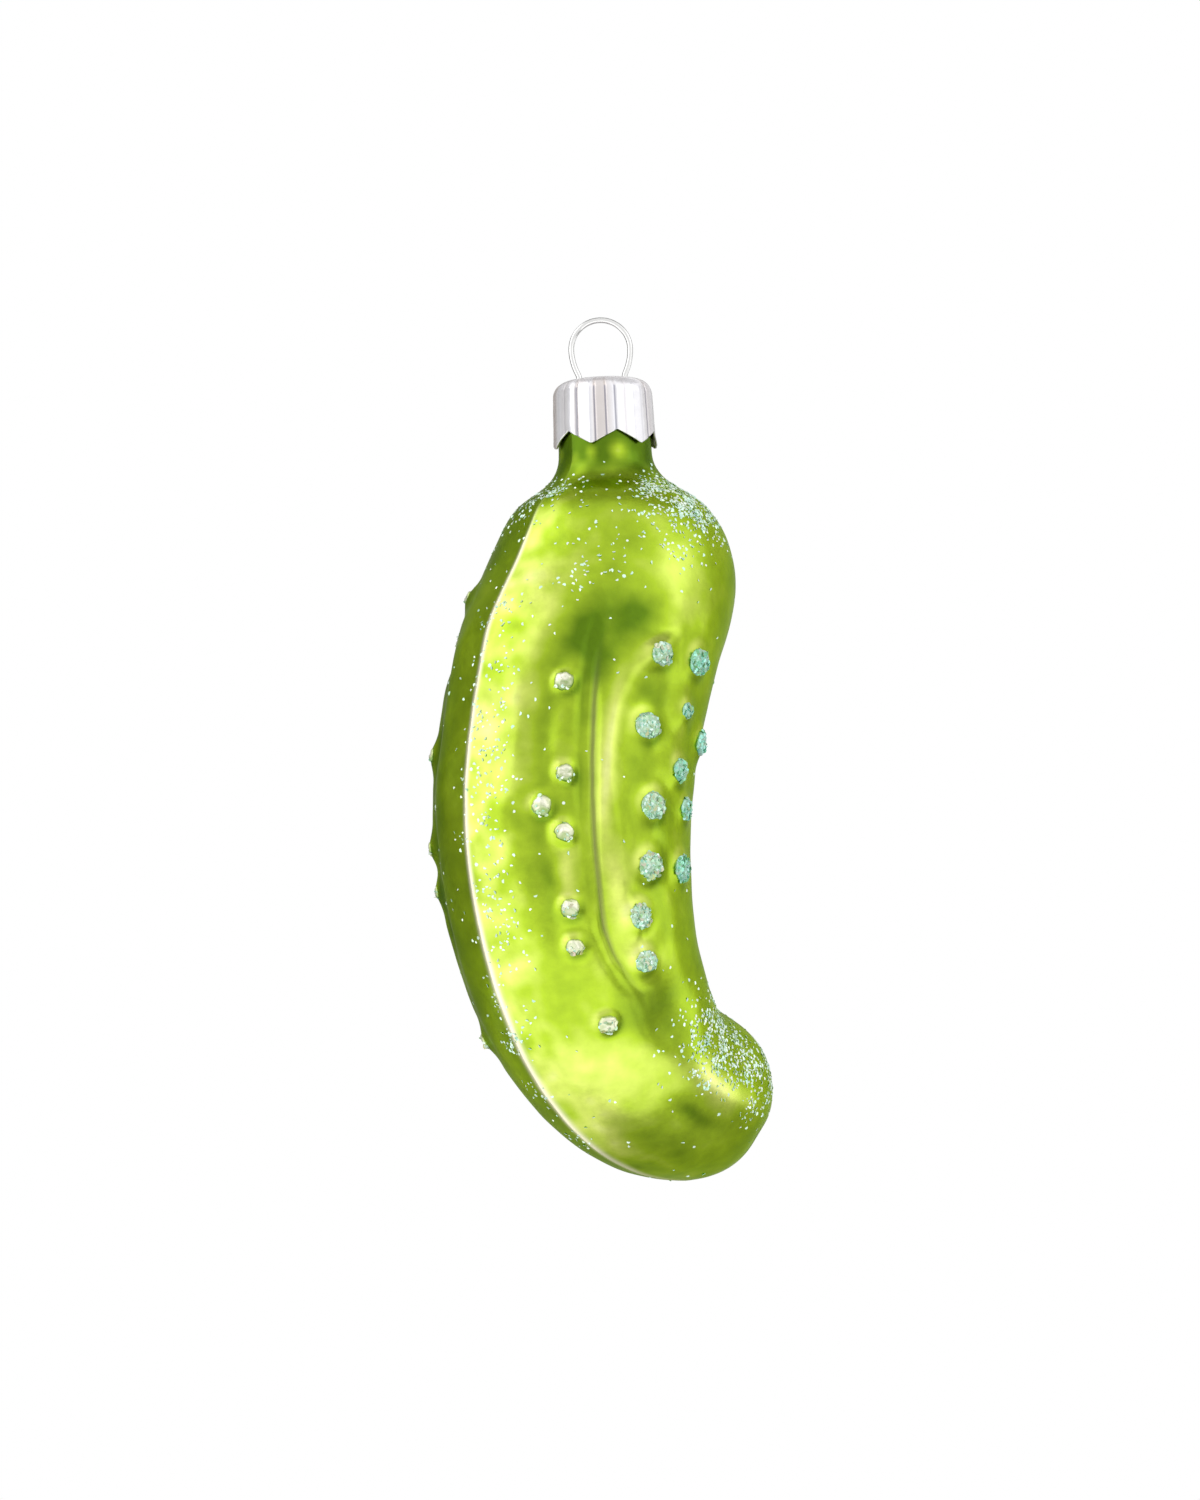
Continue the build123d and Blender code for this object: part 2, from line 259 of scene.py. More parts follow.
# Places that are dusted with loose glitter: drop, angle, side, spread, flakes per square millimetre.
DUST_PATCHES = [
    (4.2, 72, FRONT, 2.0, 3.0),
    (4.4, 84, FRONT, 2.6, 5.2),
    (6.2, 93, FRONT, 2.8, 5.4),
    (8.4, 101, FRONT, 2.4, 3.6),
    (4.6, 114, FRONT, 3.6, 3.6),
    (8.2, 69, FRONT, 2.2, 1.4),
    (4.6, 165, BACK, 4.6, 3.0),
    (7.0, 120, BACK, 4.4, 2.4),
    (4.0, 80, BACK, 4.0, 2.0),
    (8.0, 52, FRONT, 6.5, 0.42),
    (9.0, 60, BACK, 8.0, 0.40),
    (16.2, 34, FRONT, 1.8, 1.6),
    (18.2, 31, FRONT, 1.3, 1.0),
    (13.8, 38, FRONT, 2.4, 0.7),
    (11.7, 73, FRONT, 2.2, 1.8),
    (12.5, 84, FRONT, 3.0, 0.6),
    (4.2, 3, FRONT, 2.4, 2.2),
    (5.6, 11, BACK, 2.8, 2.2),
    (3.4, 12, FRONT, 2.2, 0.9),
    (21.0, 6, FRONT, 2.6, 1.5),
    (27.0, 8, FRONT, 2.6, 1.3),
    (33.0, 9, FRONT, 2.8, 1.8),
    (38.0, 11, FRONT, 3.0, 1.8),
    (43.0, 9, FRONT, 2.6, 1.4),
    (49.0, 11, FRONT, 2.8, 1.4),
    (53.0, 10, FRONT, 2.8, 1.2),
    (60.0, 10, FRONT, 3.0, 0.5),
    (44.0, 4, BACK, 1.1, 0.8),
    (52.0, 4, BACK, 1.2, 0.9),
    (57.0, 4, BACK, 1.4, 1.4),
    (61.0, 5, BACK, 1.7, 2.8),
    (66.0, 6, BACK, 1.8, 1.6),
    (69.5, 7, BACK, 1.8, 1.3),
    (66.5, 95, FRONT, 2.6, 3.4),
    (69.7, 113, FRONT, 3.2, 5.2),
    (72.5, 109, FRONT, 3.2, 5.0),
    (73.6, 100, FRONT, 3.0, 3.0),
    (70.0, 93, FRONT, 3.0, 2.6),
    (74.6, 125, FRONT, 3.4, 3.6),
    (73.2, 78, FRONT, 2.8, 0.9),
    (69.0, 82, FRONT, 2.6, 0.8),
    (71.0, 160, BACK, 4.4, 3.0),
    (74.0, 150, BACK, 4.6, 3.0),
]
DUST_EVERYWHERE = 0.025
DUST_LEVEL = 1.35
DUST_START = 0.3
DUST_TEAL = 0.06
CLUMPS = (1, 0.55)  # share and scale
CLUMPING = 1.5
CLUMP_RANGE = (0.1, 2.4)
CLUMP_TEAL = 0.30
MOST_TEAL = 0.4
DROP_WEIGHT = 2  # of a drop beside a distance round the body

# Crown cap, in millimetres and degrees. Creases and the painted reflections are by angle from the front to
# the right, and the teeth and the splay are turned from the X axis.
CAP_TOP_Z = -6.863
CAP_HEIGHT = 7.9
CAP_R = 5.8
CAP_SHOULDER_R = 1.9
CAP_SHEET = 0.22
TOOTH_COUNT = 6
TOOTH_DEPTH = 1.6
TOOTH_TURN = 45
HOLE_R = 0.45
WIRE_X = 2.6255
HOLE_SEGMENTS = 28
PUNCH_LENGTH = 2
SKIRT_TOP_Z = CAP_TOP_Z - CAP_SHOULDER_R
TOOTH_BLUNTNESS = 1.04
TOOTH_UNEVEN = 0.08
TOOTH_UNEVEN_TURN = 40
CREASES = (
    -62, -51, -40, -33, -15.5, -10.5, 2.5, 13.5, 25.5, 37, 48.5, 60, 74, 85, 99, 111, 126, 134,
    149, 163, 171, 186, 199, 214, 222, 237, 252, 263, 278, 287,
)
CREASE_SWAY = (
    0.03, -0.05, 0.05, -0.07, 0.06, -0.12, -0.12, 0.06, -0.03, 0.05, 0.02, -0.05, 0.05, -0.04, 0.06,
    -0.06, 0.03, -0.08, 0.05, 0.02, -0.05, 0.06, -0.03, 0.05, -0.09, 0.04, 0.03, -0.05, 0.06, -0.03,
)
DEEP_CREASES = (-33, -10.5, 2.5, 13.5, 60, 111, 134, 171, 222, 263)
SLIGHT_CREASE = 0.25  # share of a deep one
CREASE_WIDTH = 1.6
# Painted shadows along the deep creases of the skirt
CREASE_LINE = 0.75
CREASE_LINE_WIDTH = 1.1
CREASE_LINE_RISE = 0.6  # above the skirt's top
FOLD_EDGE = (40, 8)  # turn of the shoulder where the folds begin
FLAT_RINGS = 12
FLAT_START = 0.06
BEND_RINGS = 11
SKIRT_RINGS = 34
SPLAY = 0.88  # growth of the radius over one height of the skirt
SPLAY_START = 0.75  # share of that height
SPLAY_TURN = 12
SPLAY_FOCUS = 6
DENT_HEIGHT = 0.025
DENT_SCALE = (5, 5, 0.9)
# How far the metal turns to the brown tint: a little on the top and the bend, and in the folds as painted
# shade.
FLAT_DULLNESS = 0.20
BEND_DULLNESS = 0.22
FOLD_DULLNESS = 3.2  # per millimetre
MOST_DULLNESS = 0.7
# Painted reflections that turn the metal brown at its left and right edges
WORN_PLACES = ((-85, 13, 0.95), (80, 16, 0.25))  # angle, width and share

# The photograph's view, in millimetres and degrees.
CAMERA_TARGET = (-2.11, 3.46, -49.5)
CAMERA_DISTANCE = 520
CAMERA_TILT = -4
CAMERA_ROLL = 2.5
CAMERA_LENS = 107.3

TIPWARD = np.array([math.cos(math.radians(MOULD_TURN)), math.sin(math.radians(MOULD_TURN)), 0])
BACKWARD = np.array([-math.sin(math.radians(MOULD_TURN)), math.cos(math.radians(MOULD_TURN)), 0])
UP = np.array([0, 0, 1.0])


def length(name, about, millimetres, least=0):
    """A setting in Blender's units, from a default in millimetres."""
    default = millimetres * MM
    return FloatProperty(name=name, description=about, default=default, min=least, unit="LENGTH", precision=5)


def amount(name, about, default):
    return FloatProperty(name=name, description=about, default=default, min=0)


def tint(name, about, default):
    return FloatVectorProperty(
        name=name, description=about, default=default, subtype="COLOR", size=3, min=0, max=1
    )


class GlassSettings(bpy.types.PropertyGroup):
    """Sizes and colours of the blown glass."""

    seam_height: length("Seam height", "Ridge where the mould's halves meet", 0.45)
    groove_depth: length("Groove depth", "Depth of the long groove", 0.40)
    rib_height: length("Rib height", "Height of the rib beside the groove", 0.50)
    platform_height: length("Platform height", "Rise of the platform behind the rib", 0.45)
    panel_depth: length("Panel depth", "How far the panel between the seams lies back", 0.3)
    wave_height: length("Wave height", "Uneven blowing of the wall", 0.13)
    # The thin and thinnest tints also give the painted highlights, and the pooled tint the painted shade.
    lacquer: tint("Lacquer", "Candy lacquer over the silvering", (0.365, 0.528, 0.024))
    pooled: tint("Pooled lacquer", "Lacquer where it is thick", (0.100, 0.195, 0.004))
    thin: tint("Thin lacquer", "Lacquer on the crests", (0.625, 0.735, 0.135))
    thinnest: tint("Thinnest lacquer", "Lacquer that hardly covers the silvering", (0.90, 0.92, 0.38))


class CapSettings(bpy.types.PropertyGroup):
    """Sizes and colours of the crown cap."""

    flare: length("Flare", "Growth in radius from shoulder to rim", 0.18)
    crease_depth: length("Crease depth", "Depth of a deep crease", 0.12)
    metal: tint("Metal", "Bright stamped metal", (0.94, 0.93, 0.965))
    tarnish: tint("Tarnish", "Dull metal in the recesses", (0.50, 0.41, 0.35))


class WireSettings(bpy.types.PropertyGroup):
    """Colour of the wire hanger."""

    wire: tint("Wire", "Bright spring wire", (0.78, 0.78, 0.77))


class GlitterSettings(bpy.types.PropertyGroup):
    """Sizes and colours of the glitter."""

    flake_r: length("Flake radius", "Corner radius of a flake", 0.23)
    flake_thickness: length("Flake thickness", "Thickness of a flake", 0.03)
    glue_thickness: length("Glue thickness", "Glue over the top of a wart", 0.12)
    dust_share: amount("Dust flake size", "Size of a loose flake beside one in a dab", 0.95)
    dab_flakes: amount("Flakes on a dab", "Flakes per square millimetre of a full dab", 5.4)
    seed: IntProperty(name="Seed", description="Seed of the scatter", default=7)
    aqua: tint("Aqua", "Main tint of the flakes", (0.18, 0.54, 0.42))


class StageSettings(bpy.types.PropertyGroup):
    """Light and floor."""

    lamp_level: amount("Soft box level", "Brightness of a soft box over the white surroundings", 0.70)
    floor_drop: length("Floor drop", "Height of the loop over the floor", 250, least=0.11)


def put(tree, kind, inputs=None, **options):
    """Adds a node, sets its options, fills or links its inputs, and gives back its outputs."""
    node = tree.nodes.new(kind)
    for key, value in options.items():
        setattr(node, key, value)
    for key, value in (inputs or {}).items():
        if isinstance(value, bpy.types.NodeSocket):
            tree.links.new(value, node.inputs[key])
        else:
            node.inputs[key].default_value = value
    return node.outputs


def linked(name, data):
    """A new object in the scene."""
    obj = bpy.data.objects.new(name, data)
    bpy.context.scene.collection.objects.link(obj)
    return obj


def rgba(colour):
    return (*colour, 1)


def spaced(*runs):
    """Places along a line, from runs of start, end and pitch."""
    return np.concatenate(
        [np.linspace(a, b, max(1, round((b - a) / pitch)), endpoint=False) for a, b, pitch in runs]
    )


def bell(x):
    return np.exp(-np.square(x))


def step(x, edge, width):
    """Smooth rise from 0 to 1 about an edge."""
    return 1 / (1 + np.exp(-np.clip((x - edge) / width, -STEP_LIMIT, STEP_LIMIT)))


def fall(x, edge, width):
    """Smooth fall from 1 to 0 about an edge."""
    return step(-x, -edge, width)


def between(x, start, end, start_width, end_width):
    return step(x, start, start_width) * fall(x, end, end_width)


def patch(drops, angles, drop, angle, half_length, half_width):
    """Soft round patch on the skin, 1 in its middle."""
    return bell((drops - drop) / half_length) * bell((angles - angle) / half_width)


def from_groove(drops, angles):
    return angles - np.interp(drops, GROOVE_DROPS, GROOVE_ANGLES)


def uneven(points, *layers):
    """Smooth noise at points in millimetres, from layers of share and scale."""
    return np.array([sum(share * noise.noise(Vector(p) * scale) for share, scale in layers) for p in points])


def through(knots, values, at):
    """Reads, at any place, the smooth curve that goes through the values at the knots."""
    gaps = np.diff(knots)
    system, slopes = np.eye(len(knots)), np.zeros_like(values)
    for i in range(1, len(knots) - 1):
        before, after = gaps[i - 1], gaps[i]
        system[i, i - 1 : i + 2] = before, 2 * (before + after), after
        slopes[i] = 6 * ((values[i + 1] - values[i]) / after - (values[i] - values[i - 1]) / before)
    bends = np.linalg.solve(system, slopes)
    i = np.clip(np.searchsorted(knots, at) - 1, 0, len(gaps) - 1)
    gap = gaps[i][:, None]
    b = (at - knots[i])[:, None] / gap
    a = 1 - b
    bent = (a**3 - a) * bends[i] + (b**3 - b) * bends[i + 1]
    return a * values[i] + b * values[i + 1] + bent * gap**2 / 6


def profile():
    """Stations from the neck's top to the tip's pole, and the distance along the skin to each."""
    neck = [(0, NECK_TOP * share, NECK_R, 0, NECK_SEAM) for share in (1, 0.75, 0.5, 0.25)]
    stations = [*neck, (0, 0, NECK_R + NECK_FLARE, 0, NECK_SEAM), *STATIONS]
    shift, drop, radius, lean, seam = STATIONS[-1]
    way = math.radians(lean)
    for ring in TIP_RINGS:
        reach = radius * TIP_BULGE * math.sin(math.radians(ring))
        share = math.cos(math.radians(ring))
        middle = (shift + reach * math.sin(way), drop + reach * math.cos(way))
        stations.append((*middle, radius * share, lean, seam * share))
    stations = np.array(stations, float)
    steps = np.linalg.norm(np.diff(stations[:, :3], axis=0), axis=1)
    return stations, np.concatenate([[0], np.cumsum(steps)])


def heading(lean):
    """Way down the body's middle line where its sections lean so many degrees."""
    way = np.radians(lean)[..., None]
    return TIPWARD * np.sin(way) - UP * np.cos(way)


def middle_line(shift, drop):
    return TIPWARD * shift[..., None] + UP * (NECK_FOOT_Z - drop)[..., None]


def ring_normals(rings):
    """Outward normals of a skin through rings of points."""
    columns = np.roll(rings, -1, axis=1) - np.roll(rings, 1, axis=1)
    normals = np.cross(np.gradient(rings, axis=0), columns)
    return normals / np.linalg.norm(normals, axis=2, keepdims=True)


def moulded_relief(drop, angle, side):
    """Height of the mould's forms over the plain body, and of those that darken the lacquer in hollows with
    pooling and painted shade and pale it on crests.
    """
    settings = bpy.context.scene.pickle_glass
    panel = between(drop, *PANEL_RUN)
    past = angle - np.interp(drop, EDGE_DROPS, EDGE_ANGLES)
    rib = settings.rib_height / MM * bell((past - RIB_MIDDLE) / RIB_WIDTH) * fall(past, *RIB_EDGE)
    platform = settings.platform_height / MM * between(past, *PLATFORM_SPAN)
    line = from_groove(drop, angle)
    groove = settings.groove_depth / MM * bell(line / GROOVE_WIDTH)
    relief = between(drop, *PLATFORM_RUN) * (rib + platform) - between(drop, *GROOVE_RUN) * groove
    sway = 1 + STREAK_SWAY * np.sin(drop * STREAK_RATE + STREAK_START)
    for place, width, height in STREAKS:
        relief = relief + panel * sway * height * bell((angle - place) / width)
    place, width, height = GROOVE_STREAK
    relief = relief + panel * (2 - sway) * height * bell((line - place) / width)
    for *spot, height, sides in SOFT_FORMS:
        relief = relief + height * patch(drop, angle, *spot) * np.isin(side, sides)
    lacquered = np.minimum(relief, 0) + CREST_SHARE * np.maximum(relief, 0)
    return relief - settings.panel_depth / MM * panel * between(angle, *PANEL_SPAN), lacquered


Skin = namedtuple("Skin", "points normals drops angles sides pole pole_normal forms")


@lru_cache(maxsize=None)
def bare_skin():
    """The body's outer skin without its warts, as rings of points in millimetres."""
    settings = bpy.context.scene.pickle_glass
    stations, along = profile()
    half = spaced(*HALF_ROUND)
    around = np.concatenate([half, [180], 360 - half[:0:-1]])
    end = along[-1]
    down = spaced(
        (GLASS_WALL / 2, NECK_RUN, NECK_PITCH), (NECK_RUN, BODY_RUN, BODY_PITCH),
        (BODY_RUN, end - POLE_RUN, TIP_PITCH), (end - POLE_RUN, end - POLE_GAP, POLE_PITCH),
    )
    shift, drop, radius, lean, seam = through(along, stations, down).T[:, :, None]
    angle = np.minimum(around, 360 - around)[None, :]
    side = np.where(around < 180, FRONT, BACK)[None, :]
    turn = np.radians(around)[None, :, None]
    rays = np.cross(BACKWARD, heading(lean)) * np.cos(turn) - BACKWARD * np.sin(turn)
    centre = middle_line(shift, drop)
    relief, forms = moulded_relief(drop, angle, side)
    waves = uneven((centre + rays * radius[..., None]).reshape(-1, 3), *WAVES).reshape(relief.shape)
    relief = relief + settings.wave_height / MM * step(drop, *WAVES_EDGE) * waves
    trim = TIP_TRIM * step(down[:, None], end - TIP_TRIM_LENGTH, TIP_TRIM_SOFTNESS)
    relief = relief - trim * np.minimum(radius / TIP_TRIM_POLE_R, 1)
    ridge = sum(np.exp(-np.sqrt(gap**2 + SEAM_ROUNDING) / SEAM_SPREAD) for gap in (angle, 180 - angle))
    reach = np.maximum(radius + settings.seam_height / MM * seam * ridge + relief, radius * LEAST_REACH)
    points = centre + rays * reach[..., None]
    drops, angles, sides = (np.broadcast_to(values, relief.shape) for values in (drop, angle, side))
    last = stations[-1]
    pole = middle_line(last[0], last[1])
    return Skin(points, ring_normals(points), drops, angles, sides, pole, heading(last[3]), forms)


Seat = namedtuple("Seat", "node foot normal row dab_r")


@lru_cache(maxsize=None)
def wart_seats():
    """Where each wart stands on the skin, from the place of its dab among the solids."""
    skin = bare_skin()
    flat, normals = skin.points.reshape(-1, 3), skin.normals.reshape(-1, 3)
    seats = []
    for node in sorted(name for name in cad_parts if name.startswith("glitter_dab_")):
        low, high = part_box(node)
        middle = np.array((low + high) / 2) / MM
        near = np.argmin(np.square(flat - middle).sum(axis=1))
        normal = normals[near]
        foot = middle - normal * np.dot(middle - flat[near], normal)
        if np.linalg.norm(middle - foot) > MOST_SEAT_GAP:
            raise RuntimeError(f"{node} is not on the glass")
        side, row, number = node.removeprefix("glitter_dab_").split("_")
        kind = "back_outer" if (side, row) == ("back", "outer") else row
        seats.append(Seat(node, foot, normal, kind, DAB_RADII[kind][int(number) - 1]))
    return seats


def hill(row, across):
    """Height of a wart at a distance from its middle."""
    rise, spread = HILLS[row]
    return rise * bell(across / spread)


@lru_cache(maxsize=None)
def warted_points():
    """The outer skin's points with the warts raised."""
    skin = bare_skin()
    points = skin.points.reshape(-1, 3).copy()
    for seat in wart_seats():
        near = np.where(np.linalg.norm(points - seat.foot, axis=1) < WART_REACH)[0]
        offset = points[near] - seat.foot
        offset -= np.outer(offset @ seat.normal, seat.normal)
        across = np.linalg.norm(offset, axis=1)
        moat = MOAT_DEPTH * bell((across / HILLS[seat.row][1] - MOAT_PLACE) / MOAT_WIDTH)
        points[near] += np.outer(hill(seat.row, across) - moat, seat.normal)
    return points.reshape(skin.points.shape)


def ring_faces(index):
    """Faces between neighbouring rings, from the numbers of their points."""
    beside = np.roll(index, -1, axis=1)
    return np.stack([index[:-1], index[1:], beside[1:], beside[:-1]], axis=-1).reshape(-1, 4).tolist()


def shell(rings, first_pole, last_pole):
    """Points and faces of a closed skin through rings of points, from one pole to the other."""
    points = np.concatenate([[first_pole], rings.reshape(-1, 3), [last_pole]])
    index = 1 + np.arange(rings[..., 0].size).reshape(rings.shape[:2])
    beside = np.roll(index, -1, axis=1)
    faces = [(0, a, b) for a, b in zip(index[0].tolist(), beside[0].tolist())]
    faces += ring_faces(index)
    faces += [(a, len(points) - 1, b) for a, b in zip(index[-1].tolist(), beside[-1].tolist())]
    return points, faces


def plain_mesh(name, points_mm, faces):
    mesh = bpy.data.meshes.new(name)
    mesh.from_pydata((np.asarray(points_mm) * MM).tolist(), [], faces)
    mesh.polygons.foreach_set("use_smooth", [True] * len(mesh.polygons))
    mesh.update()
    return mesh


def drawn_mesh(name, drawing):
    """Turns a bmesh into a mesh."""
    mesh = bpy.data.meshes.new(name)
    drawing.to_mesh(mesh)
    drawing.free()
    return mesh


def evaluated_mesh(obj):
    """A plain mesh of an object, with its modifiers carried out."""
    graph = bpy.context.evaluated_depsgraph_get()
    return bpy.data.meshes.new_from_object(obj.evaluated_get(graph), depsgraph=graph)


def paint(mesh, name, values):
    """Stores a value for each point of a mesh."""
    layer = mesh.attributes.new(name, "FLOAT", "POINT")
    layer.data.foreach_set("value", np.asarray(values, np.float32).ravel())


def place(name, mesh, material, body, slot, *nodes):
    """Puts a finished mesh in the scene, on its body and in the place of its solids."""
    piece = linked(name, mesh)
    if material is not None:
        mesh.materials.clear()
        mesh.materials.append(material)
    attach(piece, body)
    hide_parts(*nodes)


def from_tree(source, tree, values):
    """Runs a node tree on a mesh and gives back its result as a plain mesh."""
    carrier = linked(source.name, source)
    modifier = carrier.modifiers.new(tree.name, "NODES")
    modifier.node_group = tree
    sockets = {item.name: item.identifier for item in tree.interface.items_tree if item.in_out == "INPUT"}
    for name, value in values.items():
        modifier[sockets[name]] = value
    mesh = evaluated_mesh(carrier)
    carrier.modifiers.remove(modifier)
    bpy.data.objects.remove(carrier)
    if not mesh.polygons:
        raise RuntimeError(f"{tree.name} made nothing")
    return mesh


def new_group(name, kind, inputs, outputs):
    """A new node group with its sockets, and what its inputs hand in."""
    tree = bpy.data.node_groups.new(name, kind)
    for label, socket, default in inputs:
        item = tree.interface.new_socket(name=label, in_out="INPUT", socket_type=socket)
        if default is not None:
            item.default_value = default
    for label, socket in outputs:
        tree.interface.new_socket(name=label, in_out="OUTPUT", socket_type=socket)
    return tree, tree.nodes.new("NodeGroupInput").outputs


def maths(tree, operation, *values):
    return put(tree, "ShaderNodeMath", dict(enumerate(values)), operation=operation)[0]


def ranged(tree, value, low=0.0, high=1.0, start=0.0, end=1.0):
    """A value that runs from start to end, stretched to run from low to high."""
    limits = {"From Min": start, "From Max": end, "To Min": low, "To Max": high}
    return put(tree, "ShaderNodeMapRange", {"Value": value, **limits})["Result"]


def mixed(tree, share, first, second, blend="MIX"):
    """Colour between two others, each a socket or a red, green and blue."""
    first, second = (c if isinstance(c, bpy.types.NodeSocket) else rgba(c) for c in (first, second))
    inputs = {0: share, 6: first, 7: second}  # by number, because names repeat
    return put(tree, "ShaderNodeMix", inputs, data_type="RGBA", blend_type=blend)[2]


def ramp(tree, value, stops):
    """Colour along a row of stops, each a place and a colour."""
    node = tree.nodes.new("ShaderNodeValToRGB")
    tree.links.new(value, node.inputs["Fac"])
    elements = node.color_ramp.elements
    for element, (position, colour) in zip(elements, (stops[0], stops[-1])):
        element.position = position
        element.color = rgba(colour)
    for position, colour in stops[1:-1]:
        elements.new(position).color = rgba(colour)
    return node.outputs["Color"]


def noisy(tree, where, scale, detail):
    inputs = {"Vector": where, "Scale": scale, "Detail": detail}
    return put(tree, "ShaderNodeTexNoise", inputs)["Fac"]


@lru_cache(maxsize=None)
def mottle_group():
    """Fine and broad unevenness of a finish, from 0 to 1, and the two together as a height."""
    value = "NodeSocketFloat"
    tree, start = new_group(
        "Mottle", "ShaderNodeTree",
        [("Fine scale", value, 1500.0), ("Broad scale", value, 160.0)],
        [("Fine", value), ("Broad", value), ("Height", value)],
    )
    where = put(tree, "ShaderNodeTexCoord")["Object"]
    fine = noisy(tree, where, start["Fine scale"], detail=3.0)
    broad = noisy(tree, where, start["Broad scale"], detail=2.0)
    put(tree, "NodeGroupOutput", {"Fine": fine, "Broad": broad, "Height": maths(tree, "ADD", fine, broad)})
    return tree


TEAL = (0.13, 0.82, 0.76)
GLINTS = [
    (0.22, (0.52, 0.84, 0.66)),
    (0.42, (0.97, 1.0, 0.95)),
    (0.66, (0.74, 0.95, 0.78)),
    (0.85, (0.38, 0.62, 0.28)),
    (0.94, (0.78, 0.64, 0.50)),
    (1.0, (0.62, 0.62, 0.22)),
]


@lru_cache(maxsize=None)
def glint_group():
    """Tint of a flake of iridescent film, by its tone from 0 to 1 and how far it turns to teal."""
    tree, start = new_group(
        "Glint", "ShaderNodeTree",
        [("Tone", "NodeSocketFloat", 0.5), ("Teal", "NodeSocketFloat", 0.0)],
        [("Color", "NodeSocketColor")],
    )
    aqua = (0.0, bpy.context.scene.pickle_glitter.aqua)
    film = ramp(tree, start["Tone"], [aqua, *GLINTS])
    put(tree, "NodeGroupOutput", {"Color": mixed(tree, start["Teal"], film, TEAL, "MULTIPLY")})
    return tree


def new_material(name):
    material = bpy.data.materials.new(name)
    material.use_nodes = True
    material.node_tree.nodes.clear()
    return material, material.node_tree


def shade(tree, inputs):
    """Ends a material's nodes in one Principled shader."""
    shader = put(tree, "ShaderNodeBsdfPrincipled", inputs)
    put(tree, "ShaderNodeOutputMaterial", {"Surface": shader["BSDF"]})


def attribute(tree, name):
    return put(tree, "ShaderNodeAttribute", attribute_name=name)["Fac"]


def mottled(tree, fine, broad):
    inputs = {"Fine scale": fine, "Broad scale": broad}
    return put(tree, "ShaderNodeGroup", inputs, node_tree=mottle_group())


def glinting(tree, tone, teal):
    inputs = {"Tone": tone, "Teal": teal}
    return put(tree, "ShaderNodeGroup", inputs, node_tree=glint_group())["Color"]


def shaded(tree, colour, value, low, high):
    """A colour made darker or lighter by a value from 0 to 1."""
    return mixed(tree, 1.0, colour, ranged(tree, value, low, high), "MULTIPLY")


def bumped(tree, height, strength, distance):
    """Normal of a surface with a fine relief, of a distance in millimetres."""
    inputs = {"Height": height, "Strength": strength, "Distance": distance * MM}
    return put(tree, "ShaderNodeBump", inputs)["Normal"]


def pool_share(pool):
    """A painted depth of lacquer, with its painted light and shade, as a share from 0, thin and lit, to 1,
    pooled and shaded.
    """
    return (pool + BARE_POOL) / (1 + BARE_POOL)


def lacquer_material():
    """Candy lacquer over silvered glass, with painted highlights and painted shade laid into its depth, and
    wear with a painted highlight along the seam.
    """
    settings = bpy.context.scene.pickle_glass
    material, tree = new_material("candy_lacquer")
    mottle = mottled(tree, fine=1300.0, broad=120.0)
    thin, usual = pool_share(0), pool_share(USUAL_POOL)
    # Paler stops give painted highlights, darker stops painted shade.
    stops = [(0, settings.thinnest), (thin, settings.thin), (usual, settings.lacquer), (1, settings.pooled)]
    colour = ramp(tree, attribute(tree, "lacquer_pool"), stops)
    colour = shaded(tree, colour, mottle["Broad"], low=0.80, high=1.16)
    colour = shaded(tree, colour, mottle["Fine"], low=0.88, high=1.12)
    for mark, mark_colour in LACQUER_MARKS.items():
        colour = mixed(tree, attribute(tree, mark), colour, mark_colour)
    shade(tree, {
        "Base Color": colour,
        "Roughness": ranged(tree, mottle["Fine"], low=0.26, high=0.36),
        "Normal": bumped(tree, mottle["Height"], strength=0.10, distance=0.2),
        "Metallic": 1.0,
        "Specular Tint": (0.58, 0.74, 0.22, 1),
        "Coat Weight": 0.16,
        "Coat Roughness": 0.14,
    })
    return material


# Dark blue of the painted crease shadows
CREASE_TINT = (0.16, 0.18, 0.27)


def metal_material():
    """Bright stamped metal, turned brown in its folds by painted shade and at its edges by painted
    reflections, with painted shadows along the deep creases.
    """
    settings = bpy.context.scene.pickle_cap
    material, tree = new_material("stamped_metal")
    mottle = mottled(tree, fine=2200.0, broad=420.0)
    colour = mixed(tree, attribute(tree, "recess"), settings.metal, settings.tarnish)
    colour = mixed(tree, attribute(tree, "crease_line"), colour, CREASE_TINT)
    shade(tree, {
        "Base Color": shaded(tree, colour, mottle["Broad"], low=0.90, high=1.07),
        "Roughness": ranged(tree, mottle["Fine"], low=0.18, high=0.28),
        "Normal": bumped(tree, mottle["Height"], strength=0.05, distance=0.1),
        "Metallic": 0.6,
    })
    return material


def wire_material():
    """Drawn spring wire."""
    wire = bpy.context.scene.pickle_wire.wire
    material, tree = new_material("drawn_wire")
    mottle = mottled(tree, fine=3000.0, broad=500.0)
    shade(tree, {
        "Base Color": shaded(tree, wire, mottle["Broad"], low=0.88, high=1.08),
        "Roughness": ranged(tree, mottle["Fine"], low=0.14, high=0.28),
        "Metallic": 1.0,
        "Specular Tint": (0.20, 0.20, 0.20, 1),
    })
    return material


@lru_cache(maxsize=None)
def flake_material():
    """Iridescent film, cut into flakes."""
    material, tree = new_material("glitter_film")
    colour = glinting(tree, attribute(tree, "flake_tone"), attribute(tree, "flake_teal"))
    shade(tree, {"Base Color": colour, "Metallic": 0.35, "Roughness": 0.22, "Coat Weight": 0.5})
    return material


